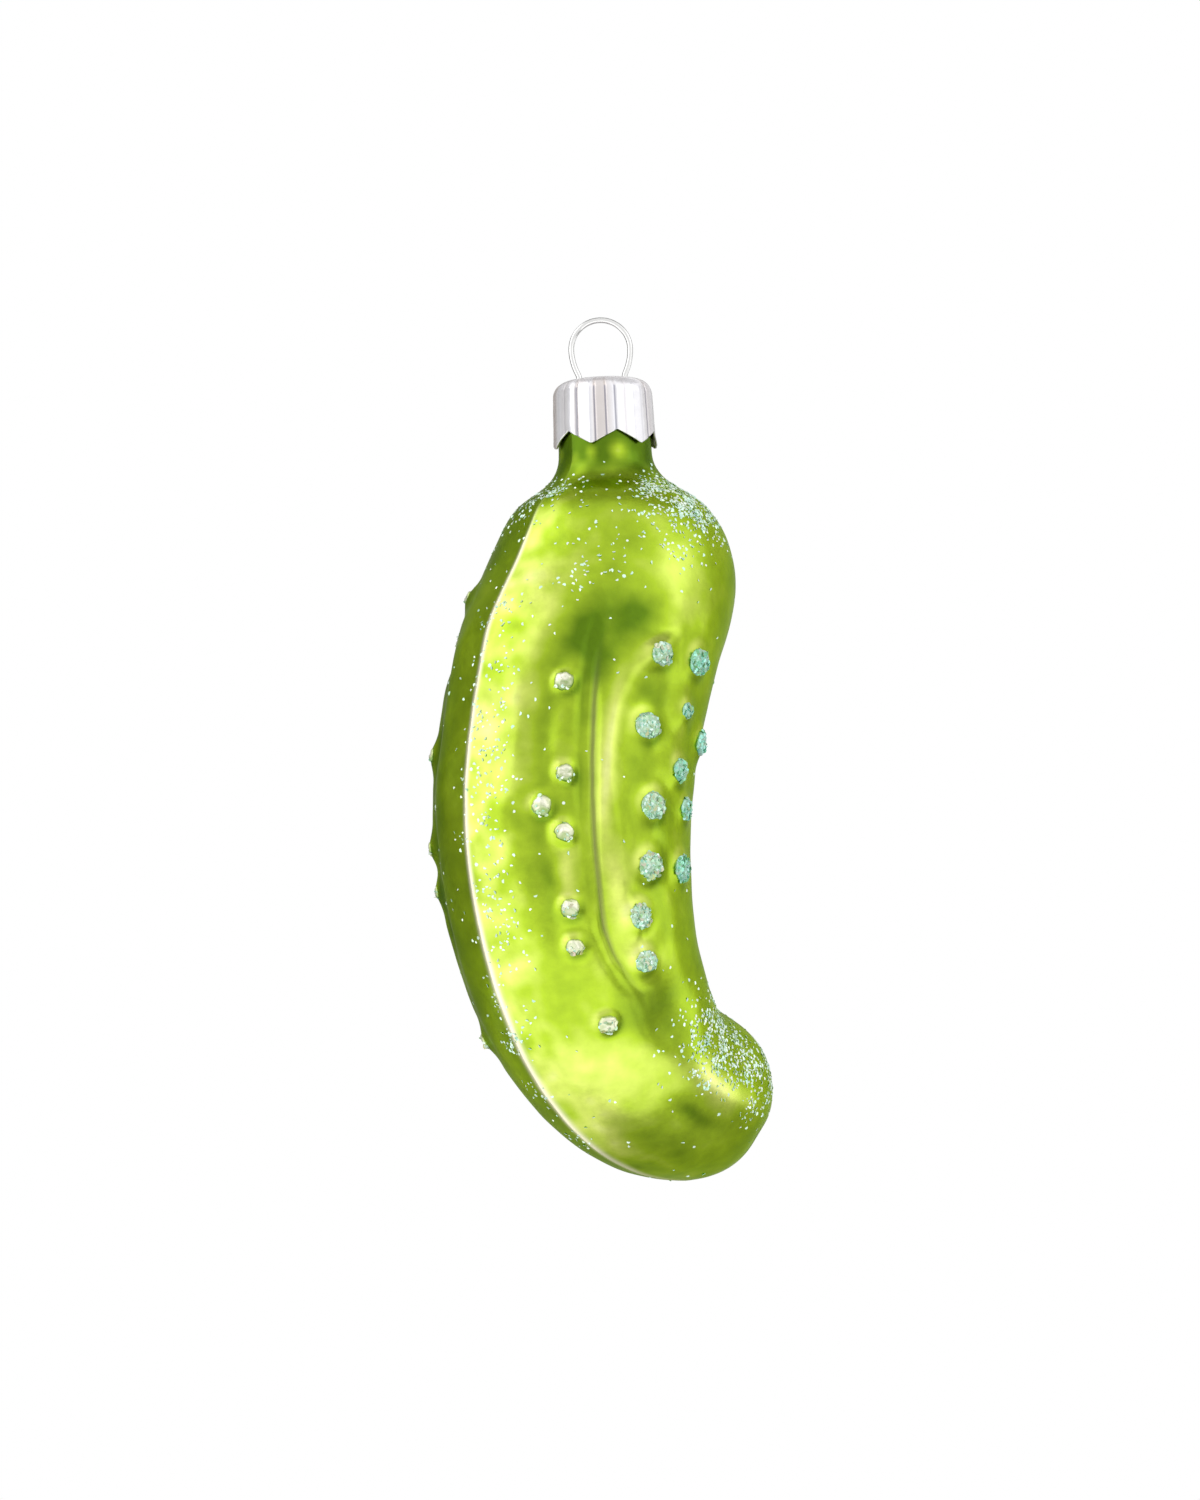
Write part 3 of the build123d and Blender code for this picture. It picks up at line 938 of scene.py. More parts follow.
# Tints of the glue with painted light and shade. On a full dab, shaded underneath and lit on top, each plain
# and turned to teal. On a bare bead, its rim and its crown, each shaded underneath and lit on top; the lit
# crown is a painted highlight.
FULL_LOW = ((0.20, 0.38, 0.16), (0.02, 0.36, 0.33))
FULL_HIGH = ((0.46, 0.54, 0.27), (0.30, 0.60, 0.48))
BEAD_EDGE = ((0.18, 0.31, 0.03), (0.52, 0.62, 0.16))
BEAD_CROWN = ((0.24, 0.36, 0.07), (0.96, 0.95, 0.76))
GLUE_GLITTER = 0.42
GLUE_GRAIN_SCALE = 4200.0


def glue_material():
    """Set glue, full of finer glitter where the dab is full, painted lighter on its upper side and darker
    underneath, with a painted highlight on a bare bead's crown.
    """
    material, tree = new_material("glitter_glue")
    teal, cover, upper, dome = (
        attribute(tree, name) for name in ("dab_teal", "dab_cover", "dab_upper", "dome_height")
    )
    where = put(tree, "ShaderNodeTexCoord")["Object"]
    cells = put(tree, "ShaderNodeTexVoronoi", {"Vector": where, "Scale": GLUE_GRAIN_SCALE})
    grain = put(tree, "ShaderNodeSeparateColor", {"Color": cells["Color"]})
    glitter = maths(tree, "MULTIPLY", cover, GLUE_GLITTER)
    full = mixed(tree, upper, mixed(tree, teal, *FULL_LOW), mixed(tree, teal, *FULL_HIGH))
    crown = ranged(tree, dome, start=0.15, end=0.85)
    bead = mixed(tree, crown, mixed(tree, upper, *BEAD_EDGE), mixed(tree, upper, *BEAD_CROWN))
    glue = mixed(tree, cover, bead, full)
    shade(tree, {
        "Base Color": mixed(tree, glitter, glue, glinting(tree, grain["Red"], teal)),
        "Roughness": ranged(tree, maths(tree, "MULTIPLY", grain["Green"], glitter), low=0.14, high=0.60),
        "Normal": bumped(tree, maths(tree, "MULTIPLY", grain["Blue"], glitter), strength=0.4, distance=0.06),
        "Metallic": 0.45,
        "Coat Weight": 0.8,
        "Coat Roughness": 0.08,
    })
    return material


FlakeKind = namedtuple("FlakeKind", "sizes lean tones seed_step")
DUST = FlakeKind(sizes=(0.55, 1.15), lean=0.5, tones=(0.28, 0.66), seed_step=0)
ON_DABS = FlakeKind(sizes=(0.60, 1.45), lean=0.65, tones=(0.0, 1.0), seed_step=3)
FLAKE_INPUTS = [
    ("Geometry", "NodeSocketGeometry", None),
    ("Flake radius", "NodeSocketFloat", 0.20 * MM),
    ("Flake thickness", "NodeSocketFloat", 0.03 * MM),
    ("Seed", "NodeSocketInt", 7),
]
GEOMETRY_OUT = [("Geometry", "NodeSocketGeometry")]
FULL_TURN = 6.28
FLAKE_SIDES = 6


def named(tree, name, kind="FLOAT"):
    """A stored value of the mesh, in a geometry tree."""
    return put(tree, "GeometryNodeInputNamedAttribute", {"Name": name}, data_type=kind)["Attribute"]


def stored(tree, geometry, name, value, domain="POINT"):
    inputs = {"Geometry": geometry, "Name": name, "Value": value}
    kind = "GeometryNodeStoreNamedAttribute"
    return put(tree, kind, inputs, data_type="FLOAT", domain=domain)["Geometry"]


def chance(tree, seed, low, high):
    """A number for each point, by lot."""
    return put(tree, "FunctionNodeRandomValue", {2: low, 3: high, 8: seed}, data_type="FLOAT")[1]


def on_points(tree, points, instance, rotation, scale):
    inputs = {"Points": points, "Instance": instance, "Rotation": rotation, "Scale": scale}
    return put(tree, "GeometryNodeInstanceOnPoints", inputs)["Instances"]


def realized(tree, instances):
    return put(tree, "GeometryNodeRealizeInstances", {"Geometry": instances})["Geometry"]


def moved(tree, geometry, **ways):
    return put(tree, "GeometryNodeSetPosition", {"Geometry": geometry, **ways})["Geometry"]


def dressed(tree, geometry, material, smooth):
    """Geometry with its shading and its material."""
    geometry = put(tree, "GeometryNodeSetShadeSmooth", {"Geometry": geometry, "Shade Smooth": smooth})
    return put(tree, "GeometryNodeSetMaterial", {"Geometry": geometry[0], "Material": material})["Geometry"]


def scattered_flakes(tree, start, surface, density, teal, kind):
    """Flakes laid on a surface: six-sided, each with its own size, lean and tone."""
    seed = maths(tree, "ADD", start["Seed"], kind.seed_step)
    spots = put(
        tree, "GeometryNodeDistributePointsOnFaces", {"Mesh": surface, "Density": density, "Seed": seed},
        distribute_method="RANDOM",
    )
    points = stored(tree, spots["Points"], "flake_teal", teal)
    flake = put(
        tree, "GeometryNodeMeshCylinder",
        {"Vertices": FLAKE_SIDES, "Radius": start["Flake radius"], "Depth": start["Flake thickness"]},
        fill_type="NGON",
    )
    least, most = (-kind.lean, -kind.lean, 0), (kind.lean, kind.lean, FULL_TURN)
    lean = put(tree, "FunctionNodeRandomValue", {0: least, 1: most, 8: seed}, data_type="FLOAT_VECTOR")
    turn = put(tree, "FunctionNodeEulerToRotation", {"Euler": lean[0]})
    stand = put(
        tree, "FunctionNodeRotateRotation",
        {"Rotation": spots["Rotation"], "Rotate By": turn[0]}, rotation_space="LOCAL",
    )
    size = chance(tree, seed, *kind.sizes)
    laid = on_points(tree, points, flake["Mesh"], stand[0], size)
    toned = stored(tree, laid, "flake_tone", chance(tree, seed, *kind.tones), "INSTANCE")
    return dressed(tree, realized(tree, toned), flake_material(), smooth=False)


def dust_tree():
    """Loose flakes over the skin, by the density that is painted on it."""
    tree, start = new_group("Glitter dust", "GeometryNodeTree", FLAKE_INPUTS, GEOMETRY_OUT)
    density, teal = named(tree, "dust"), named(tree, "dust_teal")
    laid = scattered_flakes(tree, start, start["Geometry"], density, teal, DUST)
    put(tree, "NodeGroupOutput", {"Geometry": laid})
    return tree


# A dab's dome: its underside's depth beside its top, and the ripple of its skin in millimetres.
DOME_SEGMENTS = 22
DOME_RINGS = 16
DOME_UNDERSIDE = 0.9
RIPPLE = (-0.34, 0.30)
RIPPLE_SCALE = 1500.0
FACING_SHARE = 0.8  # of a dab's own tilt in what counts as its upper side


def dome(tree):
    """A ball of radius 1 with a shallower underside, and its height stored on it."""
    sizes = {"Segments": DOME_SEGMENTS, "Rings": DOME_RINGS, "Radius": 1.0}
    ball = put(tree, "GeometryNodeMeshUVSphere", sizes)["Mesh"]
    spot = put(tree, "ShaderNodeSeparateXYZ", {0: put(tree, "GeometryNodeInputPosition")[0]})
    above = maths(tree, "MAXIMUM", spot["Z"], 0.0)
    shallow = maths(tree, "MULTIPLY_ADD", maths(tree, "MINIMUM", spot["Z"], 0.0), DOME_UNDERSIDE, above)
    seat = put(tree, "ShaderNodeCombineXYZ", {0: spot["X"], 1: spot["Y"], 2: shallow})
    return stored(tree, moved(tree, ball, Position=seat[0]), "dome_height", above)


def dab_tree(glue):
    """A dome of glue on each point, with flakes on it."""
    inputs = [*FLAKE_INPUTS, ("Flakes", "NodeSocketFloat", 1.0e7)]
    tree, start = new_group("Glitter dabs", "GeometryNodeTree", inputs, GEOMETRY_OUT)
    out = named(tree, "dab_normal", "FLOAT_VECTOR")
    stand = put(tree, "FunctionNodeAlignRotationToVector", {"Vector": out}, axis="Z")
    level = put(tree, "ShaderNodeVectorMath", {0: (0, 0, 1), 1: out}, operation="CROSS_PRODUCT")
    stand = put(
        tree, "FunctionNodeAlignRotationToVector", {"Rotation": stand[0], "Vector": level[0]},
        axis="X", pivot_axis="Z",
    )
    tall = named(tree, "dab_r")
    wide = maths(tree, "MULTIPLY", tall, named(tree, "dab_stretch"))
    size = put(tree, "ShaderNodeCombineXYZ", {0: wide, 1: tall, 2: named(tree, "dab_rise")})
    domes = realized(tree, on_points(tree, start["Geometry"], dome(tree), stand[0], size[0]))

    where = put(tree, "GeometryNodeInputPosition")[0]
    normal = put(tree, "GeometryNodeInputNormal")[0]
    ripple = noisy(tree, where, RIPPLE_SCALE, detail=2.0)
    push = ranged(tree, ripple, low=RIPPLE[0] * MM, high=RIPPLE[1] * MM)
    shove = put(tree, "ShaderNodeVectorMath", {0: normal, "Scale": push}, operation="SCALE")
    rippled = moved(tree, domes, Offset=shove[0])

    rise = put(tree, "ShaderNodeSeparateXYZ", {0: normal})["Z"]
    crown = ranged(tree, named(tree, "dome_height"), start=0.02, end=0.10)
    underside = ranged(tree, rise, low=0.05, start=0.0, end=-0.6)
    share = {0: named(tree, "dab_cover"), 2: underside, 3: 1.0}
    share = put(tree, "ShaderNodeMix", share, data_type="FLOAT")[0]
    density = maths(tree, "MULTIPLY", maths(tree, "MULTIPLY", start["Flakes"], crown), share)
    # Flakes turn darker and more teal towards the lower side: painted shade over the row's own teal.
    lower = ranged(tree, rise, low=0.1, high=1.8, start=0.5, end=-0.4)
    teal = maths(tree, "MULTIPLY", named(tree, "dab_teal"), lower)
    flakes = scattered_flakes(tree, start, rippled, density, teal, ON_DABS)

    # The glue's upper side, by its own facing and the dab's tilt, for its painted light and shade.
    facing = put(tree, "ShaderNodeSeparateXYZ", {0: out})["Z"]
    higher = maths(tree, "MULTIPLY_ADD", facing, -FACING_SHARE, rise)
    lit = stored(tree, rippled, "dab_upper", ranged(tree, higher, start=-0.50, end=0.30))
    joined = tree.nodes.new("GeometryNodeJoinGeometry")
    for piece in (dressed(tree, lit, glue, smooth=True), flakes):
        tree.links.new(piece, joined.inputs[0])
    put(tree, "NodeGroupOutput", {"Geometry": joined.outputs[0]})
    return tree


def seam_wear(skin):
    """Wear of the lacquer along the seams, with a painted highlight on it, from 0 to 1."""
    arc = np.radians(np.minimum(skin.angles, 180 - skin.angles)) * BODY_R
    width = WEAR_WIDTH + WEAR_GROWTH * step(skin.drops, *WEAR_GROWTH_EDGE)
    share = np.where(skin.angles < 90, 1.0, INNER_SEAM_WEAR)
    return bell(arc / width) * between(skin.drops, *WEAR_RUN) * share


def groove_line(skin):
    """Painted shade along the groove, from 0 to 1."""
    line = bell(from_groove(skin.drops, skin.angles) / GROOVE_LINE_WIDTH)
    return GROOVE_LINE * line * between(skin.drops, *GROOVE_LINE_RUN)


def lacquer_pool(skin):
    """Depth of the lacquer with painted light and shade: below 0 where it is thin and lit, 1 where it is
    pooled and shaded.
    """
    pool = USUAL_POOL - skin.forms / FULL_POOL_DEPTH + NECK_POOL * fall(skin.drops, *NECK_POOL_EDGE)
    for *spot, share in THIN_PLACES:
        pool = pool - share * patch(skin.drops, skin.angles, *spot)
    flank = (skin.sides == BACK) * fall(skin.angles, *FLANK_EDGE) * step(skin.drops, *FLANK_TOP)
    blotched = 1 + BLOT_GROWTH * bell(skin.angles / BLOT_SPREAD) * (skin.sides == FRONT)
    flat = skin.points.reshape(-1, 3)
    pool = (pool + FLANK_POOL * flank).ravel() + uneven(flat, *BLOTS) * blotched.ravel()
    # painted shade below and right of each wart, painted highlight above and left
    for seat in wart_seats():
        offset = flat - seat.foot
        across = np.linalg.norm(offset, axis=1)
        ring = bell((across / seat.dab_r - POOL_RING) / POOL_RING_WIDTH)
        pool += POOL_UNDER_WART * ring * (offset @ POOL_WAY) / np.maximum(across, LEAST_ACROSS)
    return pool


class PICKLE_OT_glass(bpy.types.Operator):
    """Blow the pickle: an uneven glass shell with its seam, grooves and warts"""

    bl_idname = "pickle.glass"
    bl_label = "Glass body"

    def execute(self, context):
        skin, outer = bare_skin(), warted_points()
        picks = np.unique(np.linspace(0, len(outer) - 1, INNER_RINGS).round().astype(int))[::-1]
        inner = skin.points[picks] - skin.normals[picks] * GLASS_WALL
        middle = (inner[-1] + outer[0]) / 2
        lip = [
            middle + (inner[-1] - middle) * math.cos(turn) + UP * (GLASS_WALL / 2 * math.sin(turn))
            for turn in np.linspace(0, math.pi, LIP_RINGS)[1:-1]
        ]
        rings = np.concatenate([inner, lip, outer])
        points, faces = shell(rings, skin.pole - skin.pole_normal * GLASS_WALL, skin.pole)
        mesh = plain_mesh("pickle_glass", points, faces)
        within = 1 + (len(inner) + len(lip)) * outer.shape[1]
        for name, values, inside in (
            ("seam_wear", seam_wear(skin), 0),
            ("groove_line", groove_line(skin), 0),
            ("lacquer_pool", np.clip(pool_share(lacquer_pool(skin)), 0, 1), pool_share(USUAL_POOL)),
            ("bare_silver", fall(skin.drops, *SILVER_EDGE), 1),
        ):
            outside = values.ravel()
            paint(mesh, name, np.concatenate([np.full(within, inside), outside, outside[-1:]]))
        place("pickle_glass", mesh, lacquer_material(), "pickle", "lacquered_glass", "glass_body")
        return {"FINISHED"}


def circle(degrees):
    """Points on a circle of radius 1, as a row each of X and Y."""
    return np.stack([np.cos(np.radians(degrees)), np.sin(np.radians(degrees))])


def skirt_folds(from_front):
    """How far the creased skirt stands out from a round one, the nearest crease's share, and its gap."""
    creases, radii = np.array(CREASES, float), CAP_R + np.array(CREASE_SWAY)
    ends, end_radii = np.append(creases, creases[0] + 360), np.append(radii, radii[0])
    facing = (from_front - creases[0]) % 360 + creases[0]
    which = np.clip(np.searchsorted(ends, facing, side="right") - 1, 0, len(creases) - 1)
    corners = end_radii * circle(ends)
    corner, way = corners[:, which], corners[:, which + 1] - corners[:, which]
    ray = circle(facing)
    flat = (corner[0] * way[1] - corner[1] * way[0]) / (ray[0] * way[1] - ray[1] * way[0])
    gaps = np.abs(facing[:, None] - ends)
    nearest = gaps.argmin(axis=1) % len(creases)
    deep = np.where(np.isin(creases[nearest], DEEP_CREASES), 1, SLIGHT_CREASE)
    gap = gaps.min(axis=1)
    depth = bpy.context.scene.pickle_cap.crease_depth / MM
    return flat - CAP_R - depth * deep * bell(gap / CREASE_WIDTH), deep, gap


def cap_outside(turn, fold):
    """Rings of the cap's outside, from the middle of its top to its rim, and how far each point turns to the
    brown tint, in the folds as painted shade.
    """
    flare = bpy.context.scene.pickle_cap.flare / MM
    x, y = circle(turn)
    tooth = np.abs(((turn - TOOTH_TURN) / (360 / TOOTH_COUNT) + 0.5) % 1 - 0.5) * 2
    tooth_length = TOOTH_DEPTH * (1 + TOOTH_UNEVEN * np.sin(np.radians(turn * 2 + TOOTH_UNEVEN_TURN)))
    rim_z = CAP_TOP_Z - CAP_HEIGHT + (1 - np.clip(tooth * TOOTH_BLUNTNESS, 0, 1)) * tooth_length
    splayed = SPLAY * np.clip(np.cos(np.radians(turn - SPLAY_TURN)), 0, 1) ** SPLAY_FOCUS
    folded = np.clip(-fold * FOLD_DULLNESS, 0, MOST_DULLNESS)
    whole = np.ones_like(turn)
    rings = []
    for share in np.linspace(FLAT_START, 1, FLAT_RINGS, endpoint=False):
        rings.append(((CAP_R - CAP_SHOULDER_R) * share * whole, CAP_TOP_Z * whole, FLAT_DULLNESS * whole))
    for bend in np.linspace(0, math.pi / 2, BEND_RINGS, endpoint=False):
        blend = step(math.degrees(bend), *FOLD_EDGE)
        radius = CAP_R - CAP_SHOULDER_R * (1 - math.sin(bend)) + fold * blend
        z = SKIRT_TOP_Z + CAP_SHOULDER_R * math.cos(bend)
        rings.append((radius, z * whole, BEND_DULLNESS * (1 - blend) + folded * blend))
    for share in np.linspace(0, 1, SKIRT_RINGS):
        z = SKIRT_TOP_Z + (rim_z - SKIRT_TOP_Z) * share
        down = (SKIRT_TOP_Z - z) / (CAP_HEIGHT - CAP_SHOULDER_R)
        dent = uneven(np.stack([x, y, z], axis=-1) * DENT_SCALE, (DENT_HEIGHT, 1))
        radius = CAP_R + fold + flare * down + splayed * np.clip(down - SPLAY_START, 0, 1) + dent
        rings.append((radius, z, folded))
    radius, z, dull = np.array(rings).transpose(1, 0, 2)
    return np.stack([radius * x, radius * y, z], axis=-1), dull


def punched(blank_mesh, name):
    """The cap's mesh with its two wire holes."""
    drawing = bmesh.new()
    for x in (-WIRE_X, WIRE_X):
        bmesh.ops.create_cone(
            drawing, cap_ends=True, segments=HOLE_SEGMENTS, radius1=HOLE_R * MM, radius2=HOLE_R * MM,
            depth=PUNCH_LENGTH * MM, matrix=Matrix.Translation(Vector((x, 0, CAP_TOP_Z)) * MM),
        )
    blank = linked(blank_mesh.name, blank_mesh)
    punch = linked("wire_punch", drawn_mesh("wire_punch", drawing))
    cut = blank.modifiers.new("Wire holes", "BOOLEAN")
    cut.object = punch
    cut.solver = "EXACT"
    mesh = evaluated_mesh(blank)
    mesh.name = name
    bpy.data.objects.remove(blank)
    bpy.data.objects.remove(punch)
    return mesh


class PICKLE_OT_cap(bpy.types.Operator):
    """Stamp the crown cap: a creased skirt, a zigzag rim and two holes for the wire"""

    bl_idname = "pickle.cap"
    bl_label = "Crown cap"

    def execute(self, context):
        turn = np.arange(0, 360, 1.0)
        from_front = (turn + 90 + 180) % 360 - 180
        fold, deep, gap = skirt_folds(from_front)
        outside, dull = cap_outside(turn, fold)
        inside = (outside - ring_normals(outside) * CAP_SHEET)[::-1]
        inside[0, :, 2] = outside[-1, :, 2]
        top = np.array([0, 0, CAP_TOP_Z])
        points, faces = shell(np.concatenate([outside, inside]), top, top - UP * CAP_SHEET)
        mesh = plain_mesh("crown_cap_blank", points, faces)
        # painted reflections at the cap's left and right edges
        worn = sum(share * bell((from_front - angle) / width) for angle, width, share in WORN_PLACES)
        dull = np.clip(dull + worn, 0, 1).ravel()
        paint(mesh, "recess", np.concatenate([[FLAT_DULLNESS], dull, np.ones(dull.size + 1)]))
        skirt = outside[..., 2] < SKIRT_TOP_Z + CREASE_LINE_RISE
        lines = (CREASE_LINE * deep * bell(gap / CREASE_LINE_WIDTH) * skirt).ravel()
        paint(mesh, "crease_line", np.concatenate([[0], lines, np.zeros(lines.size + 1)]))
        mesh = punched(mesh, "crown_cap_metal")
        place("crown_cap_metal", mesh, metal_material(), "cap", "cap_metal", "crown_cap")
        return {"FINISHED"}


class PICKLE_OT_wire(bpy.types.Operator):
    """Finish the wire hanger's own solid in drawn wire"""

    bl_idname = "pickle.wire"
    bl_label = "Wire hanger"

    def execute(self, context):
        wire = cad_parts["wire_hanger"]
        wire.data.materials.clear()
        wire.data.materials.append(wire_material())
        return {"FINISHED"}


class PICKLE_OT_dabs(bpy.types.Operator):
    """Dab glitter glue on each wart"""

    bl_idname = "pickle.dabs"
    bl_label = "Glitter dabs"

    def execute(self, context):
        settings = context.scene.pickle_glitter
        nodes, feet, normals, rows, radii = map(np.array, zip(*wart_seats()))
        base = np.array([hill(row, radius) for row, radius in zip(rows, radii)]) - DAB_SINK
        top = np.array([HILLS[row][0] for row in rows]) + settings.glue_thickness / MM
        spots = plain_mesh("glitter_dabs", feet + normals * base[:, None], [])
        paint(spots, "dab_r", (radii + DAB_OVERLAP) * MM)
        paint(spots, "dab_rise", (top - base) * MM)
        for name, by_row in (("dab_stretch", DAB_STRETCH), ("dab_cover", DAB_COVER), ("dab_teal", DAB_TEAL)):
            paint(spots, name, [by_row[row] for row in rows])
        layer = spots.attributes.new("dab_normal", "FLOAT_VECTOR", "POINT")
        layer.data.foreach_set("vector", normals.astype(np.float32).ravel())
        mesh = from_tree(spots, dab_tree(glue_material()), {
            "Flake radius": settings.flake_r,
            "Flake thickness": settings.flake_thickness,
            "Seed": settings.seed,
            "Flakes": settings.dab_flakes / MM**2,
        })
        place("glitter_dabs", mesh, None, "pickle", "glitter", *nodes.tolist())
        return {"FINISHED"}


class PICKLE_OT_dust(bpy.types.Operator):
    """Dust the shoulder, the tip and the seam with loose glitter"""

    bl_idname = "pickle.dust"
    bl_label = "Glitter dust"

    def execute(self, context):
        settings = context.scene.pickle_glitter
        skin, outer = bare_skin(), warted_points()
        flat = outer.reshape(-1, 3)
        clumps = uneven(flat, CLUMPS)
        density = np.full(len(flat), DUST_EVERYWHERE)
        for drop, angle, side, spread, flakes in DUST_PATCHES:
            arc = np.radians(np.abs(skin.angles - angle)) * BODY_R
            gap = np.abs(skin.drops - drop) * DROP_WEIGHT + arc
            middle = flat[np.argmin(np.where(skin.sides == side, gap, np.inf))]
            density += flakes * bell(np.linalg.norm(flat - middle, axis=1) / spread)
        density *= DUST_LEVEL * np.clip(1 + CLUMPING * clumps, *CLUMP_RANGE)
        density *= skin.drops.ravel() > DUST_START
        index = np.arange(len(flat)).reshape(outer.shape[:2])
        surface = plain_mesh("glitter_dust", flat, ring_faces(index))
        paint(surface, "dust", density / MM**2)
        paint(surface, "dust_teal", np.clip(DUST_TEAL + CLUMP_TEAL * clumps, 0, MOST_TEAL))
        mesh = from_tree(surface, dust_tree(), {
            "Flake radius": settings.flake_r * settings.dust_share,
            "Flake thickness": settings.flake_thickness,
            "Seed": settings.seed,
        })
        place("glitter_dust", mesh, None, "pickle", "glitter")
        return {"FINISHED"}


# The stage, in metres and degrees. The cards and lamps that lie low are just over the floor.
FLOOR_R = 0.8
FLOOR_SHADE = 0.97
FLOOR_SEGMENTS = 96
LAMP_GAP = 0.01
CARD_GAP = 0.008
WALL_CARD_R = 0.7
WALL_CARD_FOOT = -0.6
WALL_CARD_TOP = 0.36
WALL_CARDS = {"left_card": (-90, -196, 0.43), "right_card": (112, 166, 0.68)}  # two angles and a shade


def matte_material(name, level):
    """A dull grey without any gloss."""
    material, tree = new_material(name)
    shade(tree, {"Base Color": rgba([level] * 3), "Roughness": 1.0, "Specular IOR Level": 0.0})
    return material


def around_object(azimuth, height, distance):
    """A point round the object. Azimuth 0 is towards the camera, and grows to the right."""
    turn = math.radians(azimuth)
    return (math.sin(turn) * distance, -math.cos(turn) * distance, height)


def soft_boxes(floor):
    """Each soft box's name, place, aim, width, height and share of the level."""
    middle = (0, 0, -0.05)
    low = floor + LAMP_GAP
    return [
        ("left_soft_box", around_object(-62, 0.17, 0.65), (0, 0, 0), 0.58, 0.96, 1.0),
        ("upper_left_soft_box", around_object(-88, 0.60, 0.55), middle, 0.50, 0.40, 1.0),
        ("upper_right_soft_box", around_object(76, 0.30, 0.60), middle, 0.40, 0.28, 0.9),
        ("under_soft_box", (-0.22, 0.03, low), (-0.22, 0.03, 1), 0.36, 0.14, 1.0),
        ("right_soft_box", around_object(52, 0.22, 0.65), middle, 0.50, 0.80, 0.5),
        ("tip_soft_box", around_object(100, -0.16, 0.62), middle, 0.20, 0.24, 1.4),
        ("top_soft_box", (-0.08, -0.36, 0.55), (-0.08, -0.36, -1), 0.80, 0.44, 0.12),
        ("low_soft_box", (-0.16, -0.25, low), (-0.16, -0.25, 1), 0.88, 0.42, 1.0),
    ]


def flat_cards(floor):
    """Each level card's name, two ends along X, two along Y, height and shade."""
    low = floor + CARD_GAP
    return [
        ("top_card", (-0.28, 0.6), (-0.08, 0.6), 0.6, 0.50),
        ("low_card", (-0.3, 0.5), (-0.04, 0.5), low, 0.54),
        ("side_card", (0.32, 0.6), (-0.5, -0.08), low, 0.45),
    ]


def white_world(scene):
    scene.world = bpy.data.worlds.new("white_tent")
    scene.world.use_nodes = True
    tree = scene.world.node_tree
    tree.nodes.clear()
    light = put(tree, "ShaderNodeBackground", {"Color": (1, 1, 1, 1), "Strength": 1.0})
    put(tree, "ShaderNodeOutputWorld", {"Surface": light[0]})


def pale_floor(height):
    disc = bmesh.new()
    bmesh.ops.create_circle(disc, cap_ends=True, segments=FLOOR_SEGMENTS, radius=FLOOR_R)
    bmesh.ops.translate(disc, verts=disc.verts, vec=(0, 0, height))
    mesh = drawn_mesh("pale_floor", disc)
    mesh.materials.append(matte_material("pale_floor", FLOOR_SHADE))
    linked("pale_floor", mesh)


def soft_box(name, spot, aim, width, height, level):
    lamp = bpy.data.lights.new(name, "AREA")
    lamp.shape = "RECTANGLE"
    lamp.size, lamp.size_y = width, height
    lamp.energy = level * math.pi * width * height
    holder = linked(name, lamp)
    holder.location = spot
    holder.rotation_mode = "QUATERNION"
    holder.rotation_quaternion = (Vector(aim) - Vector(spot)).to_track_quat("-Z", "Y")
    holder.visible_diffuse = holder.visible_camera = False


def card(name, corners, level):
    """A grey card out of the picture, which only shows in reflections."""
    mesh = bpy.data.meshes.new(name)
    mesh.from_pydata(corners, [], [(0, 1, 2, 3)])
    mesh.materials.append(matte_material(name, level))
    sheet = linked(name, mesh)
    sheet.visible_camera = sheet.visible_diffuse = sheet.visible_shadow = sheet.visible_transmission = False


def photo_camera(scene):
    """The photograph's camera, a little below the object and rolled."""
    tilt, roll = math.radians(CAMERA_TILT), math.radians(CAMERA_ROLL)
    back = Vector((0, -math.cos(tilt), math.sin(tilt)))
    across = Vector((1, 0, 0))
    upright = back.cross(across)
    right = across * math.cos(roll) - upright * math.sin(roll)
    up = upright * math.cos(roll) + across * math.sin(roll)
    camera = bpy.data.cameras.new("photo_camera")
    camera.lens = CAMERA_LENS
    camera.sensor_width = 36
    camera.clip_start = 0.01
    camera.clip_end = 20
    scene.camera = linked("photo_camera", camera)
    spot = Vector(CAMERA_TARGET) * MM + back * (CAMERA_DISTANCE * MM)
    scene.camera.matrix_world = Matrix.Translation(spot) @ Matrix((right, up, back)).transposed().to_4x4()


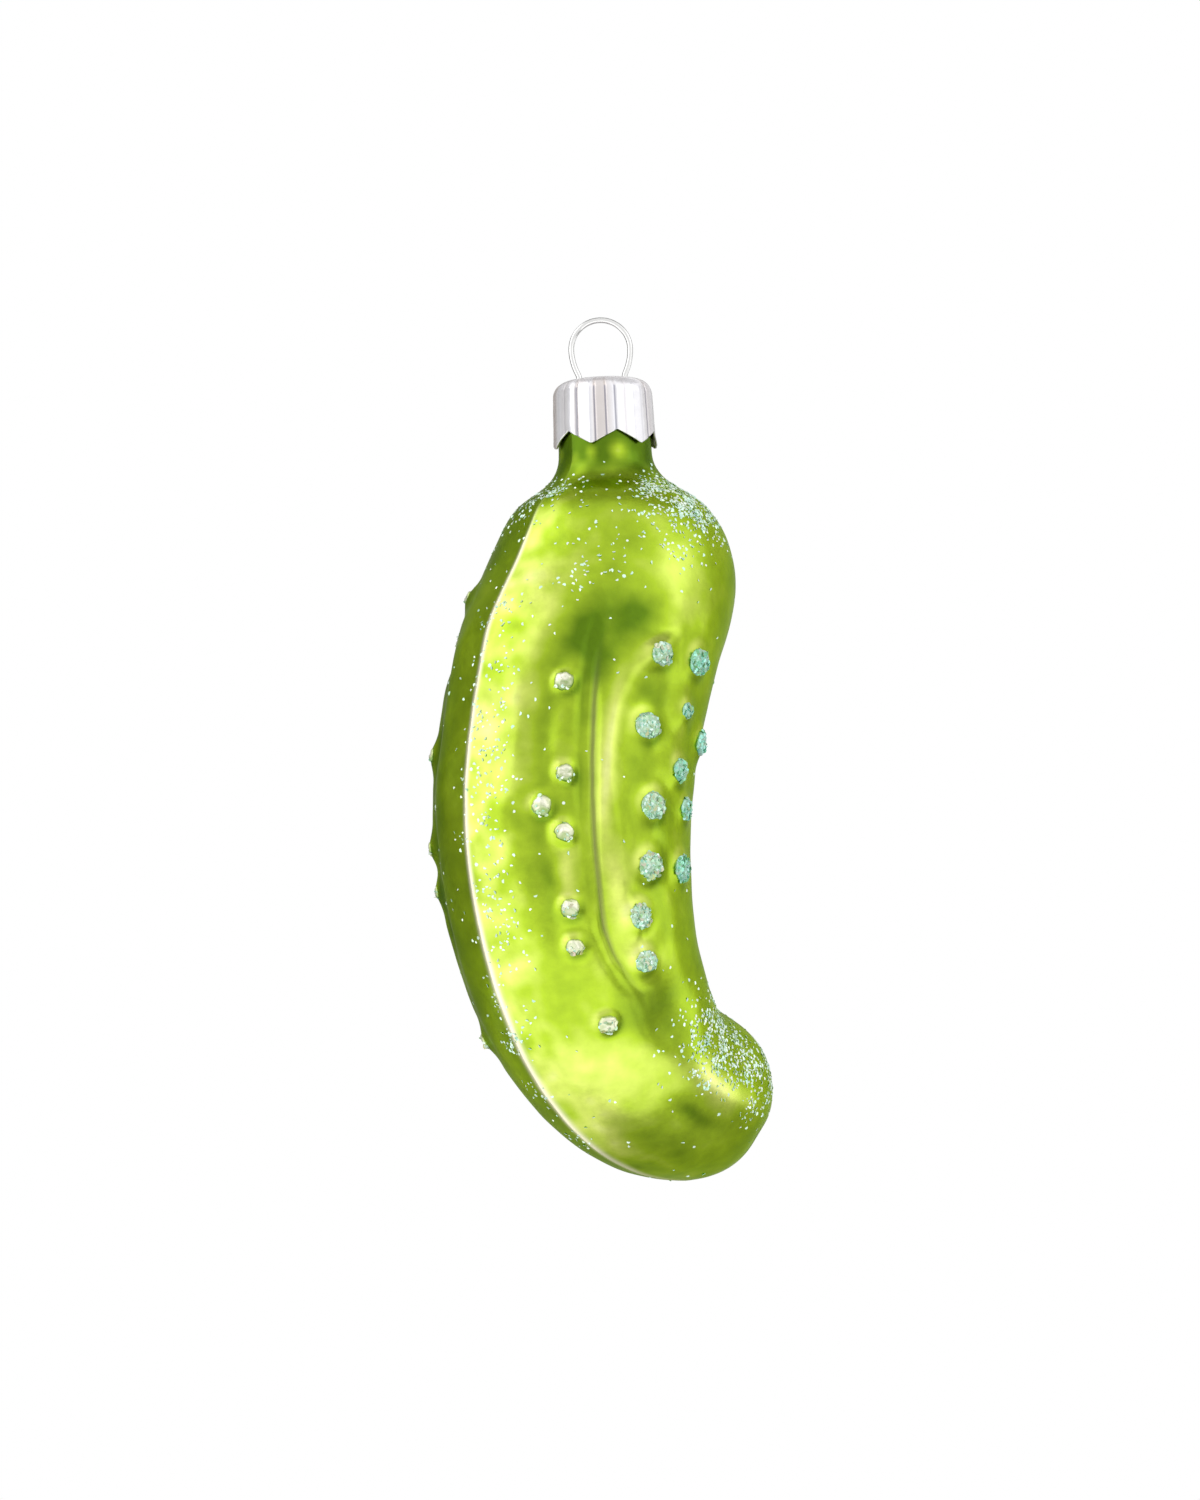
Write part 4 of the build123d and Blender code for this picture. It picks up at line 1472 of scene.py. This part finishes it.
class PICKLE_OT_stage(bpy.types.Operator):
    """Set up the floor, the soft boxes, the grey cards and the camera"""

    bl_idname = "pickle.stage"
    bl_label = "Stage"

    def execute(self, context):
        scene = context.scene
        scene.view_settings.view_transform = "Standard"
        floor = -scene.pickle_stage.floor_drop
        white_world(scene)
        pale_floor(floor)
        for *box, share in soft_boxes(floor):
            soft_box(*box, scene.pickle_stage.lamp_level * share)
        for name, (a, b, level) in WALL_CARDS.items():
            ends = ((a, WALL_CARD_FOOT), (b, WALL_CARD_FOOT), (b, WALL_CARD_TOP), (a, WALL_CARD_TOP))
            card(name, [around_object(angle, height, WALL_CARD_R) for angle, height in ends], level)
        for name, (left, right), (near, far), height, level in flat_cards(floor):
            ends = ((left, near), (right, near), (right, far), (left, far))
            card(name, [(x, y, height) for x, y in ends], level)
        photo_camera(scene)
        return {"FINISHED"}


class PICKLE_PT_panel(bpy.types.Panel):
    """Lists the pieces and their settings"""

    bl_idname = "PICKLE_PT_panel"
    bl_label = "Hanging glass pickle"
    bl_space_type = "VIEW_3D"
    bl_region_type = "UI"
    bl_category = "Pickle"

    def draw(self, context):
        for name, (settings, *operators) in SECTIONS.items():
            box = self.layout.box()
            for key in settings.__annotations__:
                box.prop(getattr(context.scene, name), key)
            for operator in operators:
                box.operator(operator.bl_idname)


SECTIONS = {
    "pickle_glass": (GlassSettings, PICKLE_OT_glass),
    "pickle_cap": (CapSettings, PICKLE_OT_cap),
    "pickle_wire": (WireSettings, PICKLE_OT_wire),
    "pickle_glitter": (GlitterSettings, PICKLE_OT_dabs, PICKLE_OT_dust),
    "pickle_stage": (StageSettings, PICKLE_OT_stage),
}
CLASSES = [cls for section in SECTIONS.values() for cls in section] + [PICKLE_PT_panel]


def register():
    for cls in CLASSES:
        bpy.utils.register_class(cls)
    for name, (settings, *_) in SECTIONS.items():
        setattr(bpy.types.Scene, name, PointerProperty(type=settings))


def unregister():
    for name in SECTIONS:
        delattr(bpy.types.Scene, name)
    for cls in reversed(CLASSES):
        bpy.utils.unregister_class(cls)


def main():
    register()
    bpy.ops.pickle.stage()
    bpy.ops.pickle.glass()
    bpy.ops.pickle.cap()
    bpy.ops.pickle.wire()
    bpy.ops.pickle.dabs()
    bpy.ops.pickle.dust()


if __name__ == "__main__":
    main()
